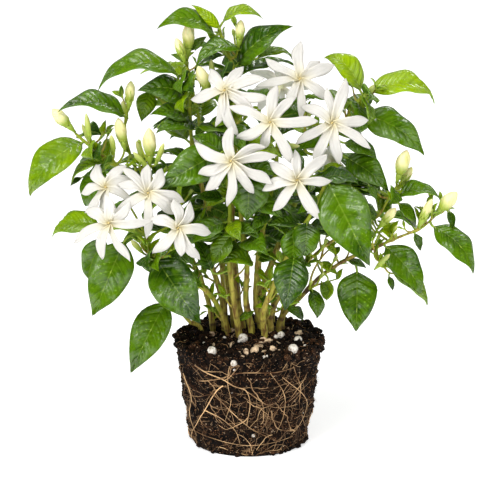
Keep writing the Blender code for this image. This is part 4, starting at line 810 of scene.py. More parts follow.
def stem_paths():
    """Points and radii of every stem and twig, the hidden ones too."""
    paths = {}
    for name, (foot, radii, marks) in STEMS.items():
        ground = Vector((foot[0], foot[1], 0)) * MM
        path = [ground + Vector((0, 0, height)) for height in (STEM_FOOT, STEM_CLEAR)]
        path += [at(*mark) for mark in marks]
        paths[name] = [(path, radii)]
    for index, (bearing, reach, height) in enumerate(HIDDEN_STEMS):
        outward = toward(math.radians(bearing))
        ground = outward * HIDDEN_FOOT_RADIUS
        path = [ground + Vector((0, 0, STEM_FOOT))]
        for step in range(HIDDEN_STEPS + 1):
            share = step / HIDDEN_STEPS
            rise = STEM_CLEAR + height * MM * share
            path.append(ground + outward * reach * MM * share ** HIDDEN_LEAN + Vector((0, 0, rise)))
        paths[f"stem_hidden_{index + 1}"] = [(path, HIDDEN_RADII)]
    for name, marks in TWIGS:
        twig = [at(*mark) for mark in marks]
        start = nearest_on(paths[name][0][0], twig[0])
        paths[name].append(([start] + twig, (TWIG_RADIUS / MM * 1.3, TWIG_RADIUS / MM)))
    return paths


def stalk_points(paths, node, end, arriving):
    """Bent twig from a node's nearest stem to a point, which it reaches along a direction."""
    below = end - Vector((0, 0, TWIG_DROP))
    start = min((nearest_on(path, below) for path, _ in paths[node]), key=lambda spot: (spot - below).length)
    middle = end - arriving * (end - start).length * 0.5
    return [bow(start, end, middle, share / 3) for share in range(4)]


def place_flower(room, paths, node, name, flower, seat, gap, reach, shape):
    """Give a bloom or bud its calyx and twig below its seat, and keep them if they are clear."""
    axis = flower["axis"]
    calyx = seat - axis * (gap + CALYX_LENGTH)
    twig = stalk_points(paths, node, calyx + axis * CALYX_LENGTH * 0.5, axis)
    if not room.clear(name, shape(flower, CLEARANCE)):
        return None
    if not room.clear_line(node, [calyx, reach], CALYX_RADII[1] + GAP):
        return None
    if not room.clear_line(node, twig, TWIG_RADIUS + CLEARANCE):
        return None
    room.take(name, shape(flower))
    room.take(node, tube_mesh([calyx, calyx + axis * CALYX_LENGTH], [CALYX_RADII[1]] * 2, 1))
    room.take(node, tube_mesh(twig, [TWIG_RADIUS] * len(twig), 0))
    return {**flower, "node": node, "name": name, "seat": seat, "calyx": calyx, "twig": twig}


def place_bloom(room, paths, node, name, bloom):
    """Place a bloom with the tube that carries its star."""
    seat = bloom["throat"] - bloom["axis"] * TUBE_LENGTH
    made = place_flower(room, paths, node, name, bloom, seat, GAP, bloom["throat"], bloom_mesh)
    if made:
        room.take(name, tube_mesh([seat, bloom["throat"]], [TUBE_RADII[1]] * 2, 1))
    return made


def place_bud(room, paths, node, name, bud):
    """Place a bud: a cream one just clear of its calyx, a green one sunk in it."""
    gap = GAP if name != node else -CALYX_LENGTH * 0.4
    reach = bud["foot"] - bud["axis"] * gap
    return place_flower(room, paths, node, name, bud, bud["foot"], gap, reach, bud_mesh)


def new_leaf(node, root, base, tip, width, facing, arch, mark=None, **more):
    """Leaf from its root on a stem: a stalk to the base, a blade to the tip, its face turned one way."""
    return {"node": node, "root": root, "base": base, "tip": tip, "width": width,
            "up": square_to(facing, tip - base), "arch": arch, "mark": mark, **more}


def place_leaf(room, plan, leaf):
    """Keep a leaf if it is clear of the other nodes and of its own node's leaves."""
    node = leaf["node"]
    if not room.clear(node, leaf_mesh(leaf, CLEARANCE)):
        return False
    blade_only = leaf_mesh(leaf, 0.0, whole=False)
    if not room.clear(node, blade_only, own_kind="leaf"):
        return False
    room.take(node, leaf_mesh(leaf))
    room.take(node, blade_only, "leaf")
    plan["leaves"].append(leaf)
    return True


def photo_bloom(row, shift):
    """Bloom of the table, with each petal tip on its pixel and a length that a petal has."""
    _, middle, depth, facing, tips = row
    throat = at(*middle, depth + shift)
    axis = Vector(facing).normalized()
    ends = []
    for tip in tips:
        ray = at(*tip, 0) - EYE
        end = EYE + ray * ((throat - EYE).dot(axis) / ray.dot(axis))
        flat = end - throat
        length = min(max(flat.length, PETAL_LENGTHS[0]), PETAL_LENGTHS[1])
        ends.append(throat + flat.normalized() * length - axis * PETAL_CURL)
    return {"throat": throat, "axis": axis, "tips": ends}


def photo_bud(base, tip, depth, radius, sides):
    """Bud between two pixels, leaning a little towards the viewer."""
    foot = at(*base, depth)
    end = at(*tip, depth - BUD_LEAN)
    return {"foot": foot.lerp(end, BUD_FOOT), "axis": (end - foot).normalized(),
            "length": (end - foot).length * (1 - BUD_FOOT), "radius": radius * MM, "sides": sides}


def plan_plant():
    """Every stem, then each bloom, bud and leaf, moved, turned or made smaller until it is clear of what was
    placed before it.
    """
    room = Room()
    paths = stem_paths()
    plan = {"paths": paths, "blooms": [], "buds": [], "leaves": [], "shoots": []}
    for node, runs in paths.items():
        for path, radii in runs:
            sizes = [radii[0] + (radii[1] - radii[0]) * index / (len(path) - 1) for index in range(len(path))]
            room.take(node, tube_mesh(path, [size * MM for size in sizes], 1))
    for name, row in BLOOMS.items():
        plan["blooms"] += first_found(place_bloom(room, paths, row[0], name, photo_bloom(row, shift))
                                      for shift in DEPTH_SHIFTS)
    for name, (node, base, tip, depth, radius) in BUDS.items():
        buds = (photo_bud(base, tip, depth + shift, radius, BUD_CORNERS) for shift in DEPTH_SHIFTS)
        plan["buds"] += first_found(place_bud(room, paths, node, name, bud) for bud in buds)
    for node, base, tip, depth in GREEN_BUDS:
        buds = (photo_bud(base, tip, depth + shift, GREEN_BUD_RADIUS, GREEN_BUD_CORNERS)
                for shift in DEPTH_SHIFTS)
        plan["buds"] += first_found(place_bud(room, paths, node, node, bud) for bud in buds)
    for row in LEAVES:
        place_photo_leaf(room, plan, row)
    place_back_leaves(room, plan)
    place_hidden(room, plan)
    return room, plan


def place_photo_leaf(room, plan, row):
    """Place a leaf of the table on its pixels, at the first depth that is clear."""
    node, base_mark, tip_mark, back, width, face, arch = row
    root = min((nearest_on(path, Vector(base_mark), flat=True) for path, _ in plan["paths"][node]),
               key=lambda spot: (seen(spot) - Vector(base_mark)).length)
    depth = root.y / MM
    facing = FACING_VIEWER * face + FACING_SKY * (1 - face)
    for size in SIZE_TRIES:
        for shift in DEPTH_SHIFTS:
            base = at(*base_mark, depth - LEAF_FORWARD + shift * FOOT_SHARE)
            tip = at(*tip_mark, depth + back + shift)
            tip = base.lerp(tip, 0.5 + size / 2)
            leaf = new_leaf(node, root, base, tip, width * MM * size, facing, arch * MM, tip_mark)
            if place_leaf(room, plan, leaf):
                return


def in_crown(point):
    """Whether a point is seen inside the crown's oval."""
    away = seen(point) - CROWN_MIDDLE
    return (away.x / CROWN_RADII[0]) ** 2 + (away.y / CROWN_RADII[1]) ** 2 < 1


def in_boxes(marks, boxes):
    """Whether one of some pixels lies in one of the boxes."""
    return any(left < mark.x < right and top < mark.y < bottom
               for mark in marks for left, top, right, bottom in boxes)


def in_window(leaf):
    """Whether the middle or the tip of a leaf stands where the photograph sees through."""
    return in_boxes([seen(leaf["base"].lerp(leaf["tip"], share)) for share in (0.5, 1.0)], OPEN_WINDOWS)


def place_hidden(room, plan):
    """Blooms, then pairs of leaves, on the stems of the sides and back."""
    draw = random.Random(HIDDEN_SEED)
    stems = [(f"stem_hidden_{index + 1}", bearing) for index, (bearing, _, _) in enumerate(HIDDEN_STEMS)]
    for node, bearing in stems:
        if bearing in HIDDEN_BLOOM_BEARINGS:
            top = plan["paths"][node][0][0][-1]
            outward = toward(math.radians(bearing))
            name = f"bloom_{len(plan['blooms']) + 1}"
            blooms = (hidden_bloom(top, outward, shift) for shift in DEPTH_SHIFTS)
            plan["blooms"] += first_found(place_bloom(room, plan["paths"], node, name, bloom)
                                          for bloom in blooms)
    for node, bearing in stems:
        path = plan["paths"][node][0][0]
        for level in range(HIDDEN_LEVELS):
            root = path_point(path, 2.5 + (len(path) - 3.5) * level / (HIDDEN_LEVELS - 1))
            for side in (0, 1):
                turn = math.radians(bearing) + level * LEAF_TURN + side * math.pi + math.radians(45)
                length = draw.uniform(*HIDDEN_LEAF_LENGTHS) * MM * (1 - 0.07 * level)
                place_hidden_leaf(room, plan, node, root, turn, length, draw.uniform(-0.45, 0.4))


def place_back_leaves(room, plan):
    """Leaves at the back of the stems that the photograph shows, turned left and right by turns."""
    draw = random.Random(BACK_SEED)
    for node, shares in BACK_LEAVES.items():
        path = plan["paths"][node][0][0]
        for index, share in enumerate(shares):
            root = path_point(path, share * (len(path) - 1))
            turn = math.radians(BACK_BEARINGS[index % 2] + draw.uniform(-15, 15))
            length = draw.uniform(*HIDDEN_LEAF_LENGTHS) * MM
            place_hidden_leaf(room, plan, node, root, turn, length, draw.uniform(-0.1, 0.5))


def hidden_bloom(top, outward, shift):
    """Bloom at the tip of a hidden stem, facing out and up."""
    axis = (outward + Vector((0, 0, HIDDEN_BLOOM_TILT))).normalized()
    rise = Vector((0, 0, (HIDDEN_BLOOM_RISE + shift) * MM))
    throat = top + outward * (HIDDEN_BLOOM_REACH + shift * FOOT_SHARE) * MM + rise
    across = square_to(Vector((0, 0, 1)), axis)
    up = axis.cross(across)
    tips = []
    for petal in range(HIDDEN_PETALS):
        angle = math.tau * petal / HIDDEN_PETALS + 0.12 * math.sin(petal * 5)
        length = (HIDDEN_PETAL_LENGTH + 2 * math.sin(petal * 3)) * MM
        ray = across * math.cos(angle) + up * math.sin(angle)
        tips.append(throat + ray * length - axis * PETAL_CURL)
    return {"throat": throat, "axis": axis, "tips": tips}


def place_hidden_leaf(room, plan, node, root, turn, length, lift):
    """Leaf of the sides or back, at the first bearing and size that is clear, in the crown and
    outside the open windows."""
    for size in SIZE_TRIES:
        for shift in BEARING_SHIFTS:
            out = toward(turn + math.radians(shift), lift)
            base = root + out * HIDDEN_STALK
            tip = base + out.normalized() * length * size - Vector((0, 0, HIDDEN_DROOP * length))
            leaf = new_leaf(node, root, base, tip, length * size * HIDDEN_LEAF_WIDTH,
                            Vector((0, 0, 1)) + out * 0.35, HIDDEN_ARCH * length)
            if in_crown(tip) and not in_window(leaf) and place_leaf(room, plan, leaf):
                return


def ball_surface(turn, height):
    """Radius of the soil at a bearing and height: a cone with uneven ground."""
    share = height / BALL_HEIGHT
    smooth = BALL_FOOT_RADIUS + (BALL_TOP_RADIUS - BALL_FOOT_RADIUS) * share ** 0.85
    spot = Vector((math.cos(turn) * 2.2, math.sin(turn) * 2.2, share * 3.2))
    return smooth + BALL_ROUGHNESS * 2 * noise.noise(spot * 1.7)


def on_soil(across, down):
    """Point of the soil's upper surface that is seen at a pixel."""
    level = BALL_HEIGHT + SOIL_MOUND * GRIT_LEVEL
    ray = at(across, down, 0) - EYE
    return EYE + ray * ((level - EYE.z) / ray.z)


class Solid:
    """Points, faces and per-point values of one piece, gathered and then made into an object."""

    def __init__(self):
        self.points, self.faces, self.places, self.tones, self.slots = [], [], [], [], []
        self.count = 0

    def add(self, points, faces, places=None, tone=0.5, slot=0):
        """Add points and faces; a triangle's fourth corner is -1."""
        points = np.asarray(points, dtype=float).reshape(-1, 3)
        faces = np.asarray(faces, dtype=int)
        if places is None:
            places = np.zeros((len(points), 2))
        self.points.append(points)
        self.faces.append(np.where(faces < 0, -1, faces + self.count))
        self.places.append(np.asarray(places).reshape(-1, 2))
        self.tones.append(np.broadcast_to(np.asarray(tone, dtype=float), len(points)))
        self.slots.append(np.broadcast_to(np.asarray(slot, dtype=int), len(faces)))
        self.count += len(points)

    def build(self, name, materials, slot, replaced=()):
        """Make the object, ride it on the root body and hide the model's parts that it replaces."""
        points = np.concatenate(self.points)
        faces = np.concatenate(self.faces)
        data = bpy.data.meshes.new(name)
        data.vertices.add(len(points))
        data.vertices.foreach_set("co", points.ravel())
        triangles = faces[:, 3] < 0
        sizes = np.where(triangles, 3, 4)
        starts = np.concatenate([[0], np.cumsum(sizes)[:-1]])
        data.loops.add(int(sizes.sum()))
        corners = faces.ravel()
        corners = corners[corners >= 0]
        data.loops.foreach_set("vertex_index", corners)
        data.polygons.add(len(faces))
        data.polygons.foreach_set("loop_start", starts)
        data.polygons.foreach_set("material_index", np.concatenate(self.slots))
        data.update(calc_edges=True)
        layer = data.uv_layers.new(name="grain")
        layer.data.foreach_set("uv", np.concatenate(self.places)[corners].ravel())
        tone = data.attributes.new("tone", "FLOAT", "POINT")
        tone.data.foreach_set("value", np.concatenate(self.tones))
        data.shade_smooth()
        for entry in materials:
            data.materials.append(entry)
        made = bpy.data.objects.new(name, data)
        bpy.context.scene.collection.objects.link(made)
        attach(made, "root")
        if replaced:
            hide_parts(*replaced)
        return made


def grid_faces(rows, columns, start=0, closed=False, flip=False):
    """Quads of a grid of points, row by row; `closed` joins the last column to the first."""
    across = np.arange(columns if closed else columns - 1)
    row, column = np.meshgrid(np.arange(rows - 1), across, indexing="ij")
    row, column = row.ravel(), column.ravel()
    beside = (column + 1) % columns
    quads = np.stack([row * columns + column, row * columns + beside,
                      (row + 1) * columns + beside, (row + 1) * columns + column], axis=1) + start
    return quads[:, ::-1] if flip else quads


def fan(centre, first, second):
    """Triangles from a middle point to pairs of a ring's points."""
    return np.stack([np.full(len(first), centre), first, second, np.full(len(first), -1)], axis=1)


def with_ends(tone, sides):
    """Tones of a closed run of rings and of its two end points, from one tone a ring or one for all."""
    tones = np.asarray(tone, dtype=float)
    if not tones.ndim:
        return tones
    return np.concatenate([np.repeat(tones, sides), [tones[0], tones[-1]]])


def grid_normals(points):
    """Unit normals of a grid of points, across columns then rows."""
    along = np.gradient(points, axis=0)
    across = np.gradient(points, axis=1)
    normals = np.cross(across, along)
    return normals / np.maximum(np.linalg.norm(normals, axis=2, keepdims=True), 1e-12)


def add_sheet(solid, points, thickness, places, tone, top_slot, under_slot):
    """Closed thin solid from a grid of points: a top, an underside and a rim between them."""
    rows, columns, _ = points.shape
    normals = grid_normals(points)
    top = points + normals * thickness / 2
    under = points - normals * thickness / 2
    size = rows * columns
    ring = ([column for column in range(columns)]
            + [row * columns + columns - 1 for row in range(1, rows)]
            + [(rows - 1) * columns + column for column in range(columns - 2, -1, -1)]
            + [row * columns for row in range(rows - 2, 0, -1)])
    ring = np.array(ring)
    after = np.roll(ring, -1)
    rim = np.stack([ring, ring + size, after + size, after], axis=1)
    faces = np.concatenate([grid_faces(rows, columns), grid_faces(rows, columns, size, flip=True), rim])
    slots = np.concatenate([np.full((rows - 1) * (columns - 1), top_slot),
                            np.full((rows - 1) * (columns - 1), under_slot), np.full(len(rim), under_slot)])
    solid.add(np.concatenate([top.reshape(-1, 3), under.reshape(-1, 3)]), faces,
              np.concatenate([places.reshape(-1, 2)] * 2), tone, slots)


def frames_along(points):
    """Side and up vectors at each point of a run, turned as little as possible from one to the next."""
    tangents = np.gradient(points, axis=0)
    tangents /= np.maximum(np.linalg.norm(tangents, axis=1, keepdims=True), 1e-12)
    start = np.array([1.0, 0.0, 0.0]) if abs(tangents[0][0]) < 0.8 else np.array([0.0, 1.0, 0.0])
    sides = []
    side = start
    for tangent in tangents:
        side = side - tangent * side.dot(tangent)
        side /= np.linalg.norm(side)
        sides.append(side)
    sides = np.array(sides)
    return sides, np.cross(tangents, sides)


def add_tube(solid, points, radii, sides, tone=0.5, slot=0, wobble=0.0):
    """Closed tube with flat ends along points."""
    points = np.asarray(points, dtype=float)
    radii = np.broadcast_to(np.asarray(radii, dtype=float), len(points))
    side, up = frames_along(points)
    turns = np.arange(sides) * math.tau / sides
    ring = side[:, None] * np.cos(turns)[None, :, None] + up[:, None] * np.sin(turns)[None, :, None]
    swell = 1 + wobble * np.sin(turns * 3)[None, :, None] * np.ones((len(points), 1, 1))
    body = points[:, None] + ring * radii[:, None, None] * swell
    length = np.concatenate([[0], np.cumsum(np.linalg.norm(np.diff(points, axis=0), axis=1))])
    places = np.stack(np.meshgrid(length * 100, turns / math.tau, indexing="ij"), axis=2)
    count = len(points) * sides
    every = np.arange(sides)
    after = (every + 1) % sides
    last = count - sides
    faces = [grid_faces(len(points), sides, closed=True, flip=True), fan(count, every, after),
             fan(count + 1, last + after, last + every)]
    solid.add(np.concatenate([body.reshape(-1, 3), points[[0, -1]]]), np.concatenate(faces),
              np.concatenate([places.reshape(-1, 2), [[0, 0], [0, 0]]]), with_ends(tone, sides), slot)


def smooth_run(points, per):
    """Points on a smooth curve through the given ones, `per` to a stretch."""
    points = np.array([tuple(point) for point in points])
    padded = np.concatenate([[2 * points[0] - points[1]], points, [2 * points[-1] - points[-2]]])
    run = []
    for index in range(len(points) - 1):
        before, start, end, after = padded[index:index + 4]
        for step in range(per):
            part = step / per
            straight = 2 * start + (end - before) * part
            bend = (2 * before - 5 * start + 4 * end - after) * part * part
            run.append(0.5 * (straight + bend + (3 * start - before - 3 * end + after) * part ** 3))
    run.append(points[-1])
    return np.array(run)


# Filling leaves
def hides_front(plan, leaf):
    """Whether a leaf would stand before a bloom or a large leaf that the photograph shows."""
    spot = (leaf["base"] + leaf["tip"]) / 2
    mark = seen(spot)
    for bloom in plan["blooms"]:
        if (seen(bloom["throat"]) - mark).length < BLOOM_REACH and spot.y < bloom["throat"].y + 8 * MM:
            return True
    for other in plan["leaves"]:
        if other["mark"] is None:
            continue
        middle = (other["base"] + other["tip"]) / 2
        reach = (seen(other["tip"]) - seen(other["base"])).length * 0.42
        if (seen(middle) - mark).length < reach and spot.y < middle.y:
            return True
    return False


def place_fillers(room, plan):
    """Smaller leaves within the crown, on every stem, turned outwards and clear of all the rest."""
    draw = random.Random(FILLER_SEED)
    for node, runs in plan["paths"].items():
        path = runs[0][0]
        for _ in range(FILLER_LEVELS):
            root = path_point(path, draw.uniform(*FILLER_SPAN) * (len(path) - 1))
            outward = Vector((root.x, root.y, 0)).normalized()
            bearing = math.atan2(outward.y, outward.x)
            for side in (-1, 1):
                turn = bearing + side * draw.uniform(0.3, 1.7)
                length = draw.uniform(*FILLER_LENGTHS) * MM
                lift = draw.uniform(-0.35, 0.45)
                place_filler(room, plan, node, root, turn, length, lift, outward)


def place_filler(room, plan, node, root, turn, length, lift, outward):
    """One filling leaf, at the first bearing and size that is clear and within the crown."""
    for size in SIZE_TRIES:
        for shift in BEARING_SHIFTS:
            out = toward(turn + math.radians(shift), lift)
            base = root + out * FILLER_STALK * MM
            tip = base + out.normalized() * length * size - Vector((0, 0, FILLER_DROOP * length))
            leaf = new_leaf(node, root, base, tip, length * size * FILLER_WIDTH,
                            Vector((0, 0, 0.7)) + outward * 0.8, FILLER_ARCH * length)
            if in_window(leaf) or in_gap(leaf) or not in_crown(tip) or hides_front(plan, leaf):
                continue
            if place_leaf(room, plan, leaf):
                return


def in_gap(leaf):
    """Whether a leaf would close one of the small gaps that the photograph shows in the crown."""
    return in_boxes([seen(leaf["tip"]), seen((leaf["base"] + leaf["tip"]) / 2)], SMALL_GAPS)


def nearest_stem(plan, mark):
    """Front stem or marked twig that the photograph shows nearest to a pixel, with that point of it."""
    found = []
    lines = [(node, path) for node, runs in plan["paths"].items() for path, _ in runs if "hidden" not in node]
    for node, path in lines + plan["shoots"]:
        spot = nearest_on(path, mark, flat=True)
        found.append(((seen(spot) - mark).length, node, spot))
    return min(found, key=lambda row: row[0])[1:]


def place_marked(room, plan):
    """Thin dark twigs and small leaves of the photograph, each from the stem that it shows nearest."""
    for marks in MARKED_TWIGS:
        node, root = nearest_stem(plan, Vector(marks[0]))
        plan["shoots"].append((node, [root] + [at(*mark, root.y / MM) for mark in marks[1:]]))
    for foot_across, foot_down, across, down, tone in MARKED_LEAVES:
        foot = (foot_across, foot_down)
        node, root = nearest_stem(plan, Vector(foot))
        depth = root.y / MM
        for shift in MARKED_SHIFTS:
            base = at(*foot, depth - MARKED_STALK + shift * 0.5)
            tip = at(across, down, depth - MARKED_LEAN + shift)
            length = (tip - base).length
            leaf = new_leaf(node, root, base, tip, length * MARKED_WIDTH, Vector((0, -0.6, 0.7)),
                            MARKED_ARCH * length, tone=tone * MARKED_BRIGHTNESS, small=True)
            if place_leaf(room, plan, leaf):
                break


def place_shoots(room, plan):
    """Short side shoots on every stem, some on its twigs too."""
    draw = random.Random(SHOOT_SEED)
    for node, runs in plan["paths"].items():
        for index, (path, _) in enumerate(runs):
            for _ in range(TWIG_SHOOTS if index else SHOOTS.get(node, STEM_SHOOTS)):
                root = path_point(path, draw.uniform(*SHOOT_SPAN) * (len(path) - 1))
                grow_shoot(room, plan, node, root, draw)


def shoot_bud(node, root, bend, end, draw):
    """Small green bud at the end of a shoot."""
    axis = (end - bend).normalized()
    length = draw.uniform(*SHOOT_BUD_LENGTHS) * MM
    radius = draw.uniform(*SHOOT_BUD_RADII) * MM
    return {"name": node, "node": node, "foot": end, "calyx": end - axis * SHOOT_CUP_DROP, "axis": axis,
            "length": length, "radius": radius, "twig": [root, bend, end], "scale": SHOOT_CUP_SIZE}


def shoot_leaf(node, foot, out, turn, draw):
    """Young leaf of a shoot, turned roughly to a bearing."""
    turn += draw.uniform(-0.6, 0.6)
    way = toward(turn, draw.uniform(-0.3, 0.5)) * draw.uniform(0.5, 1.2)
    way = (out + way).normalized()
    base = foot + way * SHOOT_STALK * MM
    tip = base + way * draw.uniform(*SHOOT_LEAVES) * MM
    length = (tip - base).length
    width = length * draw.uniform(*SHOOT_LEAF_WIDTHS)
    return new_leaf(node, foot, base, tip, width, Vector((0, -0.3, 1)) + out * 0.3, 0.1 * length,
                    tone=draw.uniform(*SHOOT_TONES), small=True)


def grow_shoot(room, plan, node, root, draw):
    """A thin twig that bends up, with young leaves or a green bud; none where it would hide a bloom."""
    bearing = draw.uniform(0, math.tau)
    out = toward(bearing, draw.uniform(*SHOOT_RISE)).normalized()
    length = draw.uniform(*SHOOT_LENGTHS) * MM
    bend = root + out * length * SHOOT_BEND
    end = bend + (out + Vector((0, 0, SHOOT_UPTURN))).normalized() * length * (1 - SHOOT_BEND)
    low, high = CAD_BOX
    inside = all(low[axis] + SHOOT_MARGIN < end[axis] < high[axis] - SHOOT_MARGIN for axis in range(3))
    if not inside or root.z < BALL_HEIGHT + SHOOT_MARGIN or hides_front(plan, {"base": bend, "tip": end}):
        return
    if draw.random() < SHOOT_BUDS:
        plan["buds"].append(shoot_bud(node, root, bend, end, draw))
        return
    plan["shoots"].append((node, [root, bend, end]))
    count = draw.randint(2, 4)
    for number in range(count):
        foot = end if number < 3 else bend
        turn = bearing + math.tau * number / count
        for _ in range(SHOOT_TRIES):
            if place_leaf(room, plan, shoot_leaf(node, foot, out, turn, draw)):
                break


# Leaves
def leaf_grid(leaf, draw):
    """Points of a leaf's blade, row by row from stalk to tip, and their places along and across it."""
    base, tip, up = (np.array(leaf[key]) for key in ("base", "tip", "up"))
    chord = tip - base
    length = float(np.linalg.norm(chord))
    side = np.cross(chord, up)
    side /= np.linalg.norm(side)
    middle = (base + tip) / 2 + up * leaf["arch"] * 2
    rows = SMALL_ROWS if leaf.get("small") else int(np.clip(length / LEAF_STEP, *LEAF_ROWS))
    columns = SMALL_COLUMNS if leaf.get("small") else LEAF_COLUMNS
    along = np.linspace(0, 1, rows)[:, None]
    spread = np.linspace(-1, 1, columns)[None, :]
    across = np.sign(spread) * np.abs(spread) ** 1.25
    spine = base * (1 - along) ** 2 + middle * 2 * along * (1 - along) + tip * along ** 2
    tangent = np.gradient(spine, axis=0)
    tangent /= np.linalg.norm(tangent, axis=1, keepdims=True)
    normal = np.cross(side[None, :], tangent)
    if normal[rows // 2].dot(up) < 0:
        normal = -normal
    phase, lean = draw.uniform(0, math.tau), draw.uniform(-1, 1)
    twist = LEAF_TWIST * lean * (along - 0.35)
    sides = side[None, :] * np.cos(twist) + normal * np.sin(twist)
    normals = normal * np.cos(twist) - side[None, :] * np.sin(twist)
    shape = np.interp(along, *zip(*LEAF_SHAPE))
    stalk = PETIOLE_WIDTH * 0.4
    uneven = 1 + 0.02 * np.sin(13 * along + phase)
    half = np.maximum(leaf["width"] / 2 * shape * uneven, stalk * (1 - along))
    share = np.abs(across)
    fold = LEAF_FOLD * (1.25 + 0.6 * abs(lean))
    rise = math.sin(fold) * (np.sqrt(share ** 2 + 0.006) - 0.077) - draw.uniform(0.1, 0.3) * share ** 3
    veins = (along - VEIN_SLANT * share ** 1.2) * SIDE_VEINS
    swelling = np.sqrt(0.5 - 0.5 * np.cos(math.tau * veins) + 0.001)
    quilt = QUILT * swelling * (1 - share ** 5) * np.sin(np.pi * along) ** 0.5
    trench = 0.02 * np.exp(-(share / 0.09) ** 2)
    wave = EDGE_WAVE * share ** 2.5 * np.sin(math.tau * 2.3 * along + phase + np.sign(across) * 0.9)
    depth = leaf["width"] / 2 * (quilt - trench) * np.sin(np.pi * np.clip(along, 0, 1)) ** 0.3
    lift = half * (rise + wave) + depth
    droop = normals * (-TIP_DROOP * length * np.clip((along - 0.72) / 0.28, 0, 1) ** 2)
    points = ((spine + droop)[:, None] + sides[:, None] * (half * math.cos(fold) * across)[..., None]
              + normals[:, None] * lift[..., None])
    places = np.stack(np.broadcast_arrays(along, across / 2 + 0.5), axis=2)
    return points, places


def add_leaf(solid, leaf, tone, draw):
    """One leaf: its blade, its stalk and the rib along its underside."""
    points, places = leaf_grid(leaf, draw)
    add_sheet(solid, points, LEAF_FINE_THICKNESS, places, tone, 0, 1)
    base, root = np.array(leaf["base"]), np.array(leaf["root"])
    middle_column = points.shape[1] // 2
    spine = points[:, middle_column]
    ahead = spine[2] - spine[0]
    ahead /= np.linalg.norm(ahead)
    reach = float(np.linalg.norm(base - root))
    middle = base - ahead * reach * 0.5
    share = np.linspace(0, 1, 5 if leaf.get("small") else 8)[:, None]
    stalk = root * (1 - share) ** 2 + middle * 2 * share * (1 - share) + base * share ** 2
    normals = grid_normals(points)[:, middle_column]
    rib = spine[1:-2:2] - normals[1:-2:2] * LEAF_FINE_THICKNESS * 0.9
    run = np.concatenate([stalk, rib])
    wide = PETIOLE_WIDTH / 2 * min(1.0, 0.55 + leaf["width"] / (40 * MM))
    radii = np.concatenate([np.linspace(wide * 1.15, wide * 0.95, len(stalk)),
                            np.linspace(wide * 0.8, wide * 0.2, len(rib))])
    add_tube(solid, run, radii, 5 if leaf.get("small") else TWIG_SIDES, tone, 2)


def build_leaves(plan, looks):
    """A piece of leaves for each stem node."""
    for node in plan["paths"]:
        own = [leaf for leaf in plan["leaves"] if leaf["node"] == node]
        if not own:
            continue
        draw = random.Random(node)
        solid = Solid()
        for leaf in own:
            spare = draw.choice(SPARE_TONES)
            tone = leaf.get("tone", LEAF_TONES.get(leaf["mark"], spare))
            add_leaf(solid, leaf, tone, draw)
        skins = [looks[name] for name in ("leaf_top", "leaf_under", "stalk")]
        solid.build(node + "_leaves", skins, "leaf", [node])


# Wood
def ring_marks(points, draw):
    """How far each point of a stem lies on one of its rings: 1 on a ring, 0 away from it."""
    run = np.concatenate([[0], np.cumsum(np.linalg.norm(np.diff(points, axis=0), axis=1))])
    marks = np.zeros(len(points))
    place = draw.uniform(0, RING_GAPS[1])
    while place < run[-1]:
        marks = np.maximum(marks, np.exp(-((run - place) / RING_WIDTH) ** 2))
        place += draw.uniform(*RING_GAPS)
    return marks


def build_wood(plan, looks):
    """A piece of stems and twigs for each stem node: woody and brown below, green above."""
    for node, runs in plan["paths"].items():
        solid = Solid()
        draw = random.Random(node + "wood")
        roots = [np.array(leaf["root"]) for leaf in plan["leaves"] if leaf["node"] == node]
        for index, (path, radii) in enumerate(runs):
            points = smooth_run(path, WOOD_STEPS)
            share = np.linspace(0, 1, len(points))
            sizes = (radii[0] + (radii[1] - radii[0]) * share) * MM
            for root in roots:
                away = np.linalg.norm(points - root, axis=1)
                sizes = sizes * (1 + KNOT_SWELL * np.exp(-(away / (KNOT_REACH * MM)) ** 2))
            rings = ring_marks(points, draw)
            sizes = sizes * (1 + RING_SWELL * rings)
            tone = np.clip(1.15 - share / WOODY_SHARE, 0, 1) if not index else 0.6 - share * 0.5
            if not index:
                sizes = sizes * np.interp(share, *zip(*STEM_GIRTH))
            if node in DARK_STEMS and not index:
                sizes = sizes * (1 - DARK_THINNING * np.minimum(1.0, share * 2.5))
                tone = np.interp(share, *zip(*DARK_TONES))
            sides = STEM_SIDES if not index else TWIG_SIDES
            add_tube(solid, points, sizes, sides, tone + 0.5 * rings, 0, wobble=0.05)
        for owner, twig in plan["shoots"]:
            if owner == node:
                points = smooth_run(twig, 4)
                sizes = np.linspace(*SHOOT_RADII, len(points)) * MM
                add_tube(solid, points, sizes, SHOOT_SIDES, np.linspace(1.3, 0.4, len(points)), 0)
        for flower in plan["blooms"] + plan["buds"]:
            if flower["node"] != node:
                continue
            points = smooth_run(flower["twig"], 5)
            sizes = np.linspace(1.15, 0.85, len(points)) * TWIG_RADIUS * 0.85
            add_tube(solid, points, sizes, TWIG_SIDES, np.zeros(len(points)), 0)
        solid.build(node + "_wood", [looks["wood"]], "stem", [node])


# Turned shapes
def add_turned(solid, foot, direction, heights, radii, sides, tone, slot=0, swell=None):
    """Closed solid of revolution; `swell` scales the radius at each height and bearing."""
    matrix = np.array(stand(foot, direction))
    heights, radii = np.asarray(heights, dtype=float), np.asarray(radii, dtype=float)
    turns = np.arange(sides) * math.tau / sides
    grown = radii[:, None] * (np.ones((1, sides)) if swell is None else swell)
    levels = np.repeat(heights[:, None], sides, axis=1)
    ring = np.stack([grown * np.cos(turns), grown * np.sin(turns), levels], axis=2)
    flat = np.concatenate([ring.reshape(-1, 3), [[0, 0, heights[0]], [0, 0, heights[-1]]]])
    points = flat @ matrix[:3, :3].T + matrix[:3, 3]
    places = np.stack(np.meshgrid(np.linspace(0, 1, len(heights)), turns / math.tau, indexing="ij"), axis=2)
    places = np.concatenate([places.reshape(-1, 2), [[0, 0], [1, 0]]])
    solid.add(points, turned_faces(len(heights), sides), places, with_ends(tone, sides), slot)


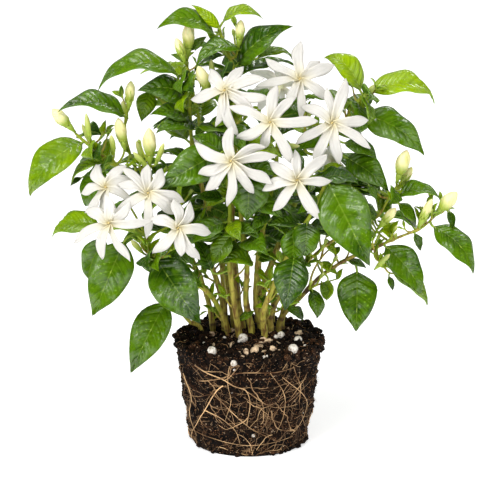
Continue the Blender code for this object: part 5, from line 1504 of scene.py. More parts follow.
def turned_faces(rings, sides):
    """Faces of a closed run of rings, whose two end points come last."""
    every = np.arange(sides)
    after = (every + 1) % sides
    count = rings * sides
    last = count - sides
    return np.concatenate([grid_faces(rings, sides, closed=True), fan(count, after, every),
                           fan(count + 1, last + every, last + after)])


def add_calyx(solid, foot, direction, scale, draw):
    """Green cup with narrow teeth that stand round the foot of a tube or bud."""
    heights, radii = np.array(CALYX_CUP).T
    heights = heights * CALYX_LENGTH * scale
    radii = radii * CALYX_RADII[1] * 0.8 * scale
    add_turned(solid, foot, direction, heights, radii, STEM_SIDES, np.linspace(0.0, 0.5, len(heights)))
    matrix = stand(foot, direction)
    for tooth in range(CALYX_TEETH):
        turn = math.tau * (tooth + draw.uniform(-0.15, 0.15)) / CALYX_TEETH
        spread = draw.uniform(1.15, 1.6)
        reach = draw.uniform(0.9, 1.25) * CALYX_TOOTH * scale
        run = []
        for share in (0, 0.35, 0.7, 1):
            radius = CALYX_RADII[1] * 0.74 * scale * (1 + (spread - 1) * share ** 1.5)
            run.append(matrix @ Vector((math.cos(turn) * radius, math.sin(turn) * radius,
                                        CALYX_LENGTH * scale * 0.85 + reach * share)))
        radii = np.array(TOOTH_RADII) * MM * scale
        add_tube(solid, np.array([tuple(point) for point in run]), radii, TOOTH_SIDES, np.full(4, 0.6), 0)


def build_calyces(plan, looks):
    """The green cups and the small green buds of each stem node."""
    for node in plan["paths"]:
        own = [flower for flower in plan["blooms"] + plan["buds"] if flower["node"] == node]
        if not own:
            continue
        draw = random.Random(node + "calyx")
        solid = Solid()
        for flower in own:
            small = flower["name"] == node
            size = 0.75 if small else BUD_CALYX if "length" in flower else 1.0
            add_calyx(solid, flower["calyx"], flower["axis"], flower.get("scale", size), draw)
            if small:
                add_bud(solid, flower, draw, green=True)
        solid.build(node + "_calyces", [looks["calyx"], looks["bud"]], "leaf", [node])


def add_bud(solid, bud, draw, green=False):
    """A furled bud: petals wound round each other into a point."""
    rows, sides = (BUD_ROWS // 2, BUD_SIDES // 2) if green else (BUD_ROWS, BUD_SIDES)
    share = np.linspace(0, 1, rows)
    profile = BUD_GIRTH * np.interp(share, *zip(*BUD_PROFILE))
    heights = share * bud["length"]
    turns = np.arange(sides) * math.tau / sides
    wind = turns[None, :] + share[:, None] * 2.4 + draw.uniform(0, 6)
    ridge = (wind * 5 / math.tau) % 1.0
    swell = 1 + 0.2 * (ridge - 0.5) * np.sin(np.pi * share[:, None]) ** 0.4
    tone = np.clip(share * 1.1 - 0.12, 0, 1) * (0.3 if green else 1.0)
    radii = profile * bud["radius"]
    add_turned(solid, bud["foot"], bud["axis"], heights, radii, sides, tone, 1 if green else 0, swell)


def build_buds(plan, looks):
    """A piece for each cream bud."""
    for bud in plan["buds"]:
        if bud["name"] == bud["node"]:
            continue
        solid = Solid()
        add_bud(solid, bud, random.Random(bud["name"]))
        solid.build(bud["name"] + "_furl", [looks["bud"]], "bud", [bud["name"]])


# Blooms
def add_petal(solid, bloom, tip, draw):
    """Long petal from the throat to its tip: gutter-shaped below, bent back at the tip."""
    throat, axis = np.array(bloom["throat"]), np.array(bloom["axis"])
    out = np.array(tip) - throat
    fall = out.dot(axis)
    out = out - axis * fall
    length = float(np.linalg.norm(out))
    out /= length
    side = np.cross(axis, out)
    along = np.linspace(0, 1, PETAL_ROWS)[:, None]
    across = np.linspace(-1, 1, PETAL_COLUMNS)[None, :]
    start = PETAL_START * MM
    reach = start + (length - start) * along
    swing = draw.uniform(-1, 1) * PETAL_SWING * MM
    hook = draw.uniform(-1, 1) * PETAL_HOOK * MM
    hooked = hook * np.clip(along - 0.6, 0, 1) ** 2 / 0.16
    bent = side[None, :] * (swing * np.sin(np.pi * along) ** 2 + hooked)
    arch = (PETAL_CURL + draw.uniform(*PETAL_ARCH) * MM) * np.sin(np.pi * along ** 0.8)
    height = -PETAL_SINK * MM * (1 - along) ** 7 + arch + fall * along ** 2
    height = height - draw.uniform(0, PETAL_BEND) * along ** 3
    spine = throat + out[None, :] * reach + axis[None, :] * height + bent
    wide = PETAL_FINE_WIDTH / 2 * draw.uniform(*PETAL_BREADTHS)
    half = wide * np.interp(along, *zip(*PETAL_SHAPE))
    roll = PETAL_ROLL * (1 - along) ** 0.5 + draw.uniform(-0.2, 0.2)
    sides = side[None, :] * np.cos(roll) + axis[None, :] * np.sin(roll)
    ups = axis[None, :] * np.cos(roll) - side[None, :] * np.sin(roll)
    share = np.abs(across)
    cup = 0.6 * (1 - along) ** 1.5 - 0.45 * along ** 1.5 + draw.uniform(-0.15, 0.25)
    ridge = 0.1 * np.cos(across * math.pi * 3.0) * np.sin(np.pi * along)
    ripple = wide * 0.14 * np.sin(9 * along + draw.uniform(0, 6)) * share ** 2 * np.sign(across)
    lift = half * (cup * share ** 2 + ridge) + ripple
    points = spine[:, None] + sides[:, None] * (half * across)[..., None] + ups[:, None] * lift[..., None]
    places = np.stack(np.broadcast_arrays(along, across / 2 + 0.5), axis=2)
    tones = np.tile(np.repeat(along.ravel(), PETAL_COLUMNS), 2)
    add_sheet(solid, points, PETAL_FINE_THICKNESS, places, tones, 1, 0)


def build_blooms(plan, looks):
    """A piece for each bloom: its petals, its tube and two stamens."""
    for bloom in plan["blooms"]:
        draw = random.Random(bloom["name"])
        solid = Solid()
        for tip in bloom["tips"]:
            add_petal(solid, bloom, tip, draw)
        heights, radii = np.array(FLOWER_TUBE).T
        heights = heights * (bloom["throat"] - bloom["seat"]).length
        tones = np.linspace(0.0, 0.1, len(heights))
        add_turned(solid, bloom["seat"], bloom["axis"], heights, radii * MM, TUBE_SIDES, tones, 2)
        matrix = stand(bloom["throat"] - bloom["axis"] * 1.2 * MM, bloom["axis"])
        heights, radii = np.array(ANTHER).T * MM
        for stamen in range(2):
            turn = draw.uniform(0, 1) + stamen * math.pi
            foot = matrix @ Vector((math.cos(turn) * 0.35 * MM, math.sin(turn) * 0.35 * MM, 0))
            add_turned(solid, foot, bloom["axis"], heights, radii, ANTHER_SIDES, 0.5, 3)
        skins = [looks[name] for name in ("petal", "petal_back", "throat", "anther")]
        solid.build(bloom["name"] + "_star", skins, "petal", [bloom["name"]])


# Soil
def crumble(point, size):
    """Uneven height of the soil at a point, in mm: clods, then crumbs."""
    spot = Vector(point) * (1000 / size)
    return (noise.noise(spot) * 0.9 + noise.noise(spot * 2.3) * 0.55
            + abs(noise.noise(spot * 5.1)) * 0.55 + noise.noise(spot * 11) * 0.22)


def soil_radius(turn, height):
    """Radius of the finished soil, with its clods."""
    radius = ball_surface(turn, height)
    spot = (math.cos(turn) * radius, math.sin(turn) * radius, height)
    return radius - 0.6 * MM + crumble(spot, SOIL_GRAIN) * 1.5 * MM * min(1.0, height / (5 * MM) + 0.25)


def painted_soil_light(turn, height, draw):
    """Painted light and shade of the soil: painted shade in its hollows, painted light on its clods."""
    radius = ball_surface(turn, height)
    spot = (math.cos(turn) * radius, math.sin(turn) * radius, height)
    return 0.3 + crumble(spot, SOIL_GRAIN) * 0.65 + draw.uniform(-0.12, 0.12)


def soil_height(flat):
    """Height of the finished soil's upper surface at a place on it."""
    share = min(1.0, flat.length / BALL_TOP_RADIUS)
    spot = (flat.x, flat.y, 0.2)
    return BALL_HEIGHT + SOIL_MOUND * (1 - share ** 2) + crumble(spot, 6) * 1.4 * MM


def build_soil(looks):
    """Soil of the ball, its surface broken into clods and crumbs."""
    rings = []
    for row in range(SOIL_ROWS):
        level = row / (SOIL_ROWS - 1)
        height = BALL_HEIGHT * level
        ring = []
        for column in range(SOIL_COLUMNS):
            turn = math.tau * column / SOIL_COLUMNS
            radius = soil_radius(turn, height) if row else BALL_FOOT_RADIUS - 1.2 * MM
            x, y = math.cos(turn) * radius, math.sin(turn) * radius
            lift = crumble((x, y, 0.2), 6) * MM * level ** 8
            ring.append((x, y, max(0.0, height + lift)))
        rings.append(ring)
    edge = np.array(rings[-1])
    for row in range(1, SOIL_TOP_ROWS + 1):
        share = 1 - row / (SOIL_TOP_ROWS + 1)
        ring = []
        for column in range(SOIL_COLUMNS):
            flat = Vector((edge[column][0], edge[column][1])) * share
            blend = min(1.0, (1 - share) * 6)
            ring.append((flat.x, flat.y, soil_height(flat) * blend + edge[column][2] * (1 - blend)))
        rings.append(ring)
    middle = soil_height(Vector((0.0001, 0)))
    points = np.concatenate([np.array(rings).reshape(-1, 3), [[0, 0, 0], [0, 0, middle]]])
    draw = random.Random(SOIL_SEED)
    # Tones of the side: painted shade in its hollows and painted light on its clods; the top's tones differ
    # at random
    tones = [painted_soil_light(math.tau * column / SOIL_COLUMNS, BALL_HEIGHT * row / (SOIL_ROWS - 1), draw)
             for row in range(SOIL_ROWS) for column in range(SOIL_COLUMNS)]
    tones += [0.3 + draw.uniform(-0.25, 0.25) for _ in range(SOIL_TOP_ROWS * SOIL_COLUMNS + 2)]
    solid = Solid()
    solid.add(points, turned_faces(len(rings), SOIL_COLUMNS), tone=np.array(tones))
    solid.build("soil_body", [looks["soil"]], "soil", ["root_ball"])


def lump(radius, draw, rough=0.35, flat=1.0, detail=2):
    """Points and faces of an uneven grain."""
    mesh = bmesh.new()
    bmesh.ops.create_icosphere(mesh, subdivisions=detail, radius=1)
    shift = Vector([draw.uniform(-50, 50) for _ in range(3)])
    for vert in mesh.verts:
        coarse, fine = noise.noise(vert.co * 1.3 + shift), noise.noise(vert.co * 3.5 + shift)
        swell = 1 + rough * coarse + rough * 0.6 * fine
        vert.co = vert.co * radius * swell
        vert.co.z *= flat
    pivot = Vector([draw.uniform(-1, 1) for _ in range(3)]).normalized()
    mesh.transform(Matrix.Rotation(draw.uniform(0, math.tau), 4, pivot))
    points = np.array([tuple(vert.co) for vert in mesh.verts])
    faces = np.array([[vert.index for vert in face.verts] + [-1] for face in mesh.faces])
    mesh.free()
    return points, faces


def on_top(across, down):
    """Point of the finished upper surface that is seen at a pixel."""
    spot = on_soil(across, down)
    for _ in range(4):
        level = soil_height(Vector((spot.x, spot.y)))
        ray = at(across, down, 0) - EYE
        spot = EYE + ray * ((level - EYE.z) / ray.z)
    return spot


def side_spot(turn, height, sunk=0.0):
    """Point of the finished soil's side, or as far as `sunk` below it."""
    radius = soil_radius(turn, height) - sunk
    return Vector((math.cos(turn) * radius, math.sin(turn) * radius, height))


def place_on_top(draw, share, inner=0.0):
    """A random place on the soil's upper surface, as far out as a share of its radius."""
    turn, reach = draw.uniform(0, math.tau), math.sqrt(draw.uniform(inner, 1)) * BALL_TOP_RADIUS * share
    return Vector((math.cos(turn) * reach, math.sin(turn) * reach))


def lie_at(across, down, rise):
    """Where a bead or chip seen at a pixel lies: on the soil, or half sunk in its side below the rim."""
    for lowered in (0.9, 0.45, 0.0):
        spot = on_top(across, down + rise / PIXEL * lowered)
        if math.hypot(spot.x, spot.y) < BALL_TOP_RADIUS * 0.96:
            return spot + Vector((0, 0, rise * max(lowered, 0.4)))
    turn, height = on_side(across, down)
    return side_spot(turn, min(height, BALL_HEIGHT - 2 * MM), 0.0)


def build_grains(looks):
    """Crumbs, perlite beads and bark chips that lie in the soil's surface."""
    draw = random.Random(GRAIN_SEED)
    crumbs, beads, chips = Solid(), Solid(), Solid()

    def drop(solid, spot, radius, **shape):
        points, faces = lump(radius, draw, **shape)
        points = points + np.array(spot)
        points[:, 2] = np.maximum(points[:, 2], 0.0)
        solid.add(points, faces, tone=draw.uniform(0, 1))

    def drop_on_top(solid, place, lift, radius, **shape):
        drop(solid, (*place, soil_height(place) + lift), radius, **shape)

    for _ in range(TOP_CRUMBS):
        flat = place_on_top(draw, 0.97)
        drop_on_top(crumbs, flat, 0.0, draw.uniform(0.45, 1.0) ** 2 * TOP_CRUMB_SIZE * MM, rough=0.5)
    for _ in range(SMALL_CRUMBS):
        turn, height = draw.uniform(0, math.tau), draw.uniform(0.02, 1.0) * BALL_HEIGHT
        drop(crumbs, side_spot(turn, height), draw.uniform(*SMALL_CRUMB_SIZES) * MM, detail=1)
    for _ in range(SIDE_CRUMBS):
        size = draw.uniform(0.4, 1.0) ** 2 * SIDE_CRUMB_SIZE * MM
        turn, height = draw.uniform(0, math.tau), draw.uniform(0.03, 1.0) ** 0.9 * BALL_HEIGHT
        drop(crumbs, side_spot(turn, height, size * 0.55), size, rough=0.5)
    for _ in range(RIM_CRUMBS):
        turn, height = draw.uniform(0, math.tau), BALL_HEIGHT + draw.uniform(-3.5, 1.2) * MM
        spot = side_spot(turn, height, draw.uniform(-0.6, 1.5) * MM)
        drop(crumbs, spot, draw.uniform(0.35, 1.0) ** 1.5 * RIM_CRUMB_SIZE * MM)
    for _ in range(FOOT_CRUMBS):
        turn, height = draw.uniform(0, math.tau), draw.uniform(0.3, 4) * MM
        spot = side_spot(turn, height, draw.uniform(-0.4, 0.6) * MM)
        drop(crumbs, spot, draw.uniform(0.4, 1.0) ** 1.5 * FOOT_CRUMB_SIZE * MM)
    for across, down, radius in CRUMB_HEAPS:
        spot = on_top(across, down)
        for _ in range(HEAP_CRUMBS):
            away = Vector((draw.gauss(0, 1), draw.gauss(0, 1), 0)) * radius * MM * 0.7
            flat = Vector((spot.x + away.x, spot.y + away.y))
            lift = draw.uniform(0, 0.6) * radius * MM
            drop_on_top(crumbs, flat, lift, draw.uniform(0.5, 0.9) * radius * MM)
    for across, down, radius in PERLITE:
        drop(beads, lie_at(across, down, radius * 0.7 * MM), radius * MM, rough=0.12, detail=3)
    for _ in range(HIDDEN_PERLITE):
        flat = place_on_top(draw, 0.93, 0.1)
        drop_on_top(beads, flat, 0.2 * MM, draw.uniform(*HIDDEN_PERLITE_SIZES) * MM, rough=0.22)
    for _ in range(SIDE_PERLITE):
        turn, height = draw.uniform(0, math.tau), draw.uniform(0.15, 0.98) * BALL_HEIGHT
        drop(beads, side_spot(turn, height, 0.1 * MM), draw.uniform(*SIDE_PERLITE_SIZES) * MM, rough=0.22)
    for across, down, radius in BARK_CHIPS:
        drop(chips, lie_at(across, down, 1.2 * MM), radius * 1.3 * MM, rough=0.45, flat=0.5, detail=3)
    for _ in range(HIDDEN_CHIPS):
        flat = place_on_top(draw, 0.9)
        drop_on_top(chips, flat, 0.3 * MM, draw.uniform(*HIDDEN_CHIP_SIZES) * MM, rough=0.3, flat=0.35)
    crumbs.build("soil_crumbs", [looks["soil"]], "soil", ["root_ball"])
    beads.build("perlite_beads", [looks["perlite"]], "perlite", ["root_ball"])
    chips.build("bark_chips", [looks["bark"]], "stem", ["root_ball"])


# Roots
def over_soil(turn, height, lift):
    """Point that rides over the soil's clods and bridges its hollows."""
    radius = max(soil_radius(turn, height), ball_surface(turn, height) - 0.4 * MM) + lift
    return Vector((math.cos(turn) * radius, math.sin(turn) * radius, height))


def on_side(across, down):
    """Bearing and height of the ball's side that is seen at a pixel."""
    for depth in range(-50, 10):
        spot = at(across, down, depth)
        turn = math.atan2(spot.y, spot.x)
        if math.hypot(spot.x, spot.y) <= ball_surface(turn, min(max(spot.z, 0), BALL_HEIGHT)):
            return turn, spot.z
    return None


def add_root(solid, marks, radius, draw, ends=0.35, lift=0.0):
    """Root that lies in the soil's side along marks of bearing and height."""
    run = smooth_run([Vector((turn, height / MM / 20, 0)) for turn, height in marks], ROOT_STEPS)
    phase = draw.uniform(0, 50)
    points = []
    for turn, level, _ in run:
        height = min(max(level * 20 * MM, radius * 1.3), BALL_HEIGHT - 1.5 * MM)
        sway = Vector((turn * 14, level * 9, phase))
        swing = ROOT_SWAY * min(1.0, radius / (0.4 * MM))
        turn += noise.noise(sway) * swing / BALL_FOOT_RADIUS
        height = min(max(height + noise.noise(sway * 1.7) * swing, radius * 1.3), BALL_HEIGHT - 1.5 * MM)
        points.append(tuple(over_soil(turn, height, radius * 0.4 + lift)))
    points = np.array(points)
    for _ in range(2):
        points[1:-1] = (points[:-2] + 2 * points[1:-1] + points[2:]) / 4
    share = np.linspace(0, 1, len(points))
    radii = radius * (1 - (1 - ends) * share) * np.array([draw.uniform(0.85, 1.15) for _ in points])
    tones = draw.uniform(0.1, 0.9) + 0.7 * np.array([noise.noise(Vector(point) * 110) for point in points])
    add_tube(solid, points, radii, ROOT_SIDES, np.clip(tones, 0, 1), 0 if radius > HAIR_RADIUS else 1)


def wander(turn, height, heading, steps, stride, draw, bend=0.35):
    """Marks of a root that wanders over the ball's side."""
    marks = [(turn, height)]
    for _ in range(steps):
        heading += draw.gauss(0, bend)
        turn += math.cos(heading) * stride / BALL_FOOT_RADIUS
        height += math.sin(heading) * stride
        if height < 1.5 * MM or height > BALL_HEIGHT - 2 * MM:
            heading = -heading
            height = min(max(height, 1.5 * MM), BALL_HEIGHT - 2 * MM)
        marks.append((turn, height))
    return marks


def fork(solid, turn, height, heading, radius, steps, depth, draw):
    """Root that forks like a river: each side root is thinner and shorter."""
    marks = wander(turn, height, heading, steps, draw.uniform(2.4, 4.2) * MM, draw, 0.3)
    add_root(solid, marks, radius, draw, 0.45, ROOT_RISE * min(1.0, radius / (0.45 * MM)))
    if depth:
        for _ in range(draw.randint(1, 3)):
            start = draw.choice(marks[1:])
            turned = heading + draw.choice((-1, 1)) * draw.uniform(0.5, 1.1)
            thinner = radius * draw.uniform(0.45, 0.7)
            fork(solid, *start, turned, thinner, max(3, int(steps * 0.6)), depth - 1, draw)


def build_roots(looks):
    """Tan roots over the ball's side: the seen ones first, then a tangle of finer ones."""
    draw = random.Random(ROOT_SEED)
    solid = Solid()
    for radius, pixels in PHOTO_ROOTS:
        marks = [on_side(*pixel) for pixel in pixels]
        marks = [mark for mark in marks if mark]
        add_root(solid, marks, radius * PHOTO_ROOT_SHARE * MM, draw, 0.5, ROOT_RISE)
        for start, after in zip(marks, marks[1:]):
            heading = math.atan2(after[1] - start[1], (after[0] - start[0]) * BALL_FOOT_RADIUS)
            spot = (start[0] + (after[0] - start[0]) * 0.5, start[1] + (after[1] - start[1]) * 0.5)
            heading += draw.choice((-1, 1)) * draw.uniform(0.5, 1.2)
            fork(solid, *spot, heading, radius * SIDE_ROOT_SHARE * MM, 5, 1, draw)
    for _ in range(LONG_ROOTS):
        turn, height = draw.uniform(0, math.tau), draw.uniform(0.35, 0.95) * BALL_HEIGHT
        heading = -math.pi / 2 + draw.gauss(0, 0.7)
        fork(solid, turn, height, heading, draw.uniform(*LONG_ROOT_SIZES) * MM, 9, 2, draw)
    for _ in range(LOW_ROOTS):
        turn, height = draw.uniform(0, math.tau), draw.uniform(0.02, 0.25) * BALL_HEIGHT
        heading = draw.choice((0, math.pi)) + draw.gauss(0, 0.3)
        fork(solid, turn, height, heading, draw.uniform(*LOW_ROOT_SIZES) * MM, 10, 1, draw)
    for _ in range(FINE_ROOTS):
        height = draw.uniform(0.02, 0.97) ** 1.2 * BALL_HEIGHT
        turn, heading = draw.uniform(0, math.tau), draw.uniform(0, math.tau)
        fork(solid, turn, height, heading, draw.uniform(*FINE_ROOT_SIZES) * MM, 5, 1, draw)
    solid.build("root_tangle", [looks["root"], looks["hair"]], "root", ["root_net"])
    build_fibres(looks, draw)


def build_fibres(looks, draw):
    """Short frayed fibres that stand off the soil's side and lie on its top."""
    frayed = Solid()
    for _ in range(FRAYED_FIBRES):
        turn, height = draw.uniform(0, math.tau), draw.uniform(0.1, 1.0) * BALL_HEIGHT
        foot = side_spot(turn, height, 0.6 * MM)
        out = toward(turn, draw.uniform(-0.5, 0.7))
        slant = Vector((-math.sin(turn), math.cos(turn), draw.gauss(0, 0.6))) * draw.gauss(0, 1)
        reach = draw.uniform(*FRAYED_LENGTHS) * MM
        run = [foot + (out * share + slant * share ** 2) * reach for share in (0, 0.3, 0.65, 1.0)]
        sizes = np.linspace(*FRAYED_RADII, 4) * MM
        add_tube(frayed, [tuple(point) for point in run], sizes, FIBRE_SIDES, draw.uniform(0, 1), 0)
    for _ in range(TOP_FIBRES):
        flat = place_on_top(draw, 0.95)
        heading = draw.uniform(0, math.tau)
        run = []
        for step in range(5):
            spot = flat + Vector((math.cos(heading), math.sin(heading))) * step * 1.6 * MM
            heading += draw.gauss(0, 0.4)
            run.append((spot.x, spot.y, soil_height(spot) + (0.3 + 0.7 * math.sin(step * 0.8)) * MM))
        sizes = np.linspace(*TOP_FIBRE_RADII, 5) * MM
        add_tube(frayed, run, sizes, FIBRE_SIDES, draw.uniform(0, 1), 0)
    frayed.build("soil_fibres", [looks["fibre"]], "root", ["root_net"])


# Materials
class Paint:
    """Short names for the nodes of one material."""

    def __init__(self, name, roughness=0.5, **sockets):
        self.material = bpy.data.materials.new(name)
        self.material.use_nodes = True
        self.tree = self.material.node_tree
        self.shader = self.tree.nodes["Principled BSDF"]
        self.shader.inputs["Roughness"].default_value = roughness
        for socket, value in sockets.items():
            self.shader.inputs[socket.replace("_", " ")].default_value = value

    def node(self, kind, inputs=(), **settings):
        """A new node with its settings, its sockets fed by values or links."""
        made = self.tree.nodes.new(kind)
        for setting, value in settings.items():
            setattr(made, setting, value)
        for socket, value in dict(inputs).items():
            self.put(made.inputs[socket], value)
        return made

    def put(self, socket, value):
        """Feed a socket with a value or a link."""
        if isinstance(value, bpy.types.NodeSocket):
            self.tree.links.new(value, socket)
        else:
            socket.default_value = value

    def maths(self, operation, *values, clamp=False):
        """Result of one sum on values or links."""
        made = self.node("ShaderNodeMath", operation=operation, use_clamp=clamp)
        for socket, value in zip(made.inputs, values):
            self.put(socket, value)
        return made.outputs[0]

    def step(self, value, low, high):
        """0 below `low`, 1 above `high`, smooth between; the other way round where low is above high."""
        made = self.node("ShaderNodeMapRange", interpolation_type="SMOOTHSTEP", clamp=True)
        flip = low > high
        for socket, entry in zip(("Value", "From Min", "From Max", "To Min", "To Max"),
                                 (value, min(low, high), max(low, high), float(flip), float(not flip))):
            self.put(made.inputs[socket], entry)
        return made.outputs["Result"]

    def mix(self, factor, first, second):
        """Colour between two others."""
        made = self.node("ShaderNodeMix", data_type="RGBA", blend_type="MIX")
        for socket, value in ((0, factor), (6, first), (7, second)):
            self.put(made.inputs[socket], value if not isinstance(value, tuple) else (*value, 1)[:4])
        return made.outputs[2]

    def noise(self, scale, detail=3.0, place=None):
        """Noise pattern from 0 to 1, in the object's own metres unless told otherwise."""
        settings = {"Scale": scale, "Detail": detail, "Roughness": NOISE_ROUGHNESS}
        made = self.node("ShaderNodeTexNoise", settings)
        self.tree.links.new(place or self.place(), made.inputs["Vector"])
        return made.outputs["Fac"]

    def place(self, stretch=None):
        """Object coordinates, in metres."""
        spot = self.node("ShaderNodeTexCoord").outputs["Object"]
        if stretch:
            spot = self.node("ShaderNodeMapping", {"Vector": spot, "Scale": stretch}).outputs["Vector"]
        return spot

    def grain(self):
        """Place along and across a leaf or petal."""
        place = self.node("ShaderNodeUVMap", uv_map="grain").outputs["UV"]
        apart = self.node("ShaderNodeSeparateXYZ", {"Vector": place})
        return apart.outputs["X"], apart.outputs["Y"]

    def tone(self):
        """Tone that the builders wrote at each point."""
        return self.node("ShaderNodeAttribute", attribute_name="tone").outputs["Fac"]

    def bump(self, height, distance, strength=1.0):
        """Relief of the skin, and of its coat if it has one."""
        made = self.node("ShaderNodeBump", {"Height": height, "Distance": distance, "Strength": strength})
        self.tree.links.new(made.outputs["Normal"], self.shader.inputs["Normal"])
        if self.shader.inputs["Coat Weight"].default_value > 0:
            self.tree.links.new(made.outputs["Normal"], self.shader.inputs["Coat Normal"])

    def colour(self, value):
        """Link the skin's colour."""
        self.tree.links.new(value, self.shader.inputs["Base Color"])

    def rough(self, value):
        """Link the skin's roughness."""
        self.tree.links.new(value, self.shader.inputs["Roughness"])


def leaf_veins(paint):
    """Where the side veins and the midrib run on a leaf, from its own coordinates."""
    along, across = paint.grain()
    share = paint.maths("ABSOLUTE", paint.maths("MULTIPLY_ADD", across, 2.0, -1.0))
    slant = paint.maths("MULTIPLY", paint.maths("POWER", share, 1.2), VEIN_SLANT)
    run = paint.maths("MULTIPLY", paint.maths("SUBTRACT", along, slant), float(SIDE_VEINS))
    away = paint.maths("PINGPONG", run, 0.5)
    lines = paint.maths("MULTIPLY", paint.step(away, 0.07, 0.0), paint.step(share, 0.96, 0.5))
    midrib = paint.step(share, 0.05, 0.012)
    bulge = paint.maths("MULTIPLY", paint.step(away, 0.0, 0.42), paint.step(share, 1.0, 0.55))
    return share, lines, midrib, bulge


def leaf_look(name, dark, bright, young, vein, roughness, underside=False):
    """Leaf skin: three greens by the leaf's tone, paler veins, uneven patches, a fine grain and a painted
    highlight on the swollen quilting.
    """
    paint = Paint(name, roughness, Coat_Weight=0.0 if underside else LEAF_COAT, Coat_Roughness=0.25,
                  Coat_IOR=1.8, Specular_IOR_Level=0.08, Specular_Tint=(0.8, 1.0, 0.3, 1.0),
                  Subsurface_Weight=0.22, Subsurface_Scale=0.0012, Subsurface_Radius=(0.6, 1.0, 0.1))
    share, lines, midrib, bulge = leaf_veins(paint)
    patches = paint.step(paint.noise(50, 4), 0.36, 0.64)
    flecks = paint.step(paint.noise(190, 3), 0.35, 0.65)
    fine = paint.noise(700, 2)
    tone = paint.tone()
    blend = paint.maths("MULTIPLY_ADD", patches, 0.5, -0.36)
    blend = paint.maths("MULTIPLY_ADD", flecks, 0.18, blend)
    blend = paint.maths("ADD", blend, paint.maths("MULTIPLY_ADD", share, 0.24, -0.08))
    # Painted highlight: the swollen quilting between the side veins is painted lighter
    blend = paint.maths("MULTIPLY_ADD", bulge, 0.1, blend)
    age = paint.maths("ADD", tone, blend, clamp=True)
    youth = paint.maths("MULTIPLY_ADD", blend, 0.25, tone)
    green = paint.mix(paint.step(age, 0.0, 0.6), dark, bright)
    green = paint.mix(paint.step(youth, 0.58, 1.05), green, young)
    speck = paint.maths("MULTIPLY", paint.step(fine, 0.4, 0.8), 0.08)
    green = paint.mix(speck, green, vein)
    green = paint.mix(paint.maths("MULTIPLY", lines, 0.17), green, vein)
    green = paint.mix(paint.maths("MULTIPLY", midrib, 0.24), green, vein)
    green = paint.mix(paint.maths("MULTIPLY", paint.step(share, 0.95, 1.0), 0.25), green, vein)
    paint.colour(green)
    paint.rough(paint.maths("MULTIPLY_ADD", paint.noise(160, 3), 0.25, roughness - 0.12))
    height = paint.maths("MULTIPLY_ADD", bulge, 0.5, paint.maths("MULTIPLY", fine, 0.06))
    height = paint.maths("MULTIPLY_ADD", paint.noise(230, 3), 0.75, height)
    paint.bump(height, 0.0014, 0.8)
    if not underside:
        wet = paint.step(paint.noise(85, 3), 0.42, 0.56)
        paint.put(paint.shader.inputs["Coat Weight"], paint.maths("MULTIPLY", wet, 0.6))
    return paint.material


def wood_look():
    """Stem skin: green above, brown and streaked bark below."""
    paint = Paint("stem_wood", 0.6, Specular_IOR_Level=0.25)
    tone = paint.tone()
    streaks = paint.noise(420, 4, paint.place((1, 1, 0.12)))
    patches = paint.noise(120, 3)
    green = paint.mix(patches, (0.16, 0.25, 0.008), (0.44, 0.48, 0.035))
    bark = paint.mix(paint.step(streaks, 0.33, 0.58), (0.17, 0.085, 0.02), (0.5, 0.43, 0.075))
    dark = paint.mix(streaks, (0.04, 0.02, 0.008), (0.2, 0.12, 0.045))
    grown = paint.maths("MULTIPLY_ADD", paint.maths("SUBTRACT", patches, 0.5), 1.6, tone)
    skin = paint.mix(paint.step(grown, 0.3, 0.95), green, bark)
    paint.colour(paint.mix(paint.step(grown, 0.95, 1.7), skin, dark))
    paint.bump(streaks, 0.0003, 0.7)
    return paint.material


def plain_green(name, low, high, tip):
    """Green of stalks and calyces, paler towards the tip."""
    paint = Paint(name, 0.45, Subsurface_Weight=0.05, Subsurface_Scale=0.0006)
    patches = paint.noise(260, 3)
    paint.colour(paint.mix(paint.maths("MULTIPLY", paint.tone(), 0.8), paint.mix(patches, low, high), tip))
    paint.bump(patches, 0.0001, 0.5)
    return paint.material


def petal_look(name, middle, shade, roughness):
    """Petal skin: white with a cream foot, faint lengthwise veins painted greyer as painted shade of the
    petal's folds, and a soft sheen.
    """
    paint = Paint(name, roughness, Subsurface_Weight=0.3, Subsurface_Scale=0.002,
                  Subsurface_Radius=(1.0, 0.95, 0.86), Sheen_Weight=0.15)
    along, across = paint.grain()
    stretched = paint.node("ShaderNodeCombineXYZ", {"X": paint.maths("MULTIPLY", along, 1.2),
                                                    "Y": paint.maths("MULTIPLY", across, 14.0)})
    veins = paint.noise(2.2, 2, stretched.outputs["Vector"])
    blotches = paint.noise(150, 2)
    # Painted shade: the lengthwise streaks get the greyer shade colour of the petal's folds
    white = paint.mix(paint.step(veins, 0.4, 0.75), middle, shade)
    white = paint.mix(paint.maths("MULTIPLY", paint.step(blotches, 0.45, 0.8), 0.3), white, (0.8, 0.74, 0.67))
    white = paint.mix(paint.maths("MULTIPLY", paint.step(along, 0.5, 0.0), 0.75), white, (0.7, 0.645, 0.44))
    white = paint.mix(paint.maths("MULTIPLY", paint.step(along, 0.2, 0.02), 0.5), white, (0.68, 0.58, 0.27))
    paint.colour(white)
    paint.bump(veins, 0.00025, 0.6)
    return paint.material


def throat_look():
    """Cream inside of a bloom's tube."""
    paint = Paint("bloom_throat", 0.5, Subsurface_Weight=0.1, Subsurface_Scale=0.001)
    paint.colour(paint.mix(paint.noise(300, 2), (0.72, 0.7, 0.4), (0.88, 0.82, 0.55)))
    paint.bump(paint.noise(500, 2), 0.0001, 0.5)
    return paint.material


def anther_look():
    """Yellow, dusty anther."""
    paint = Paint("bloom_anther", 0.7)
    grains = paint.noise(1500, 3)
    paint.colour(paint.mix(grains, (0.66, 0.5, 0.18), (0.88, 0.76, 0.4)))
    paint.bump(grains, 0.0001, 0.8)
    return paint.material


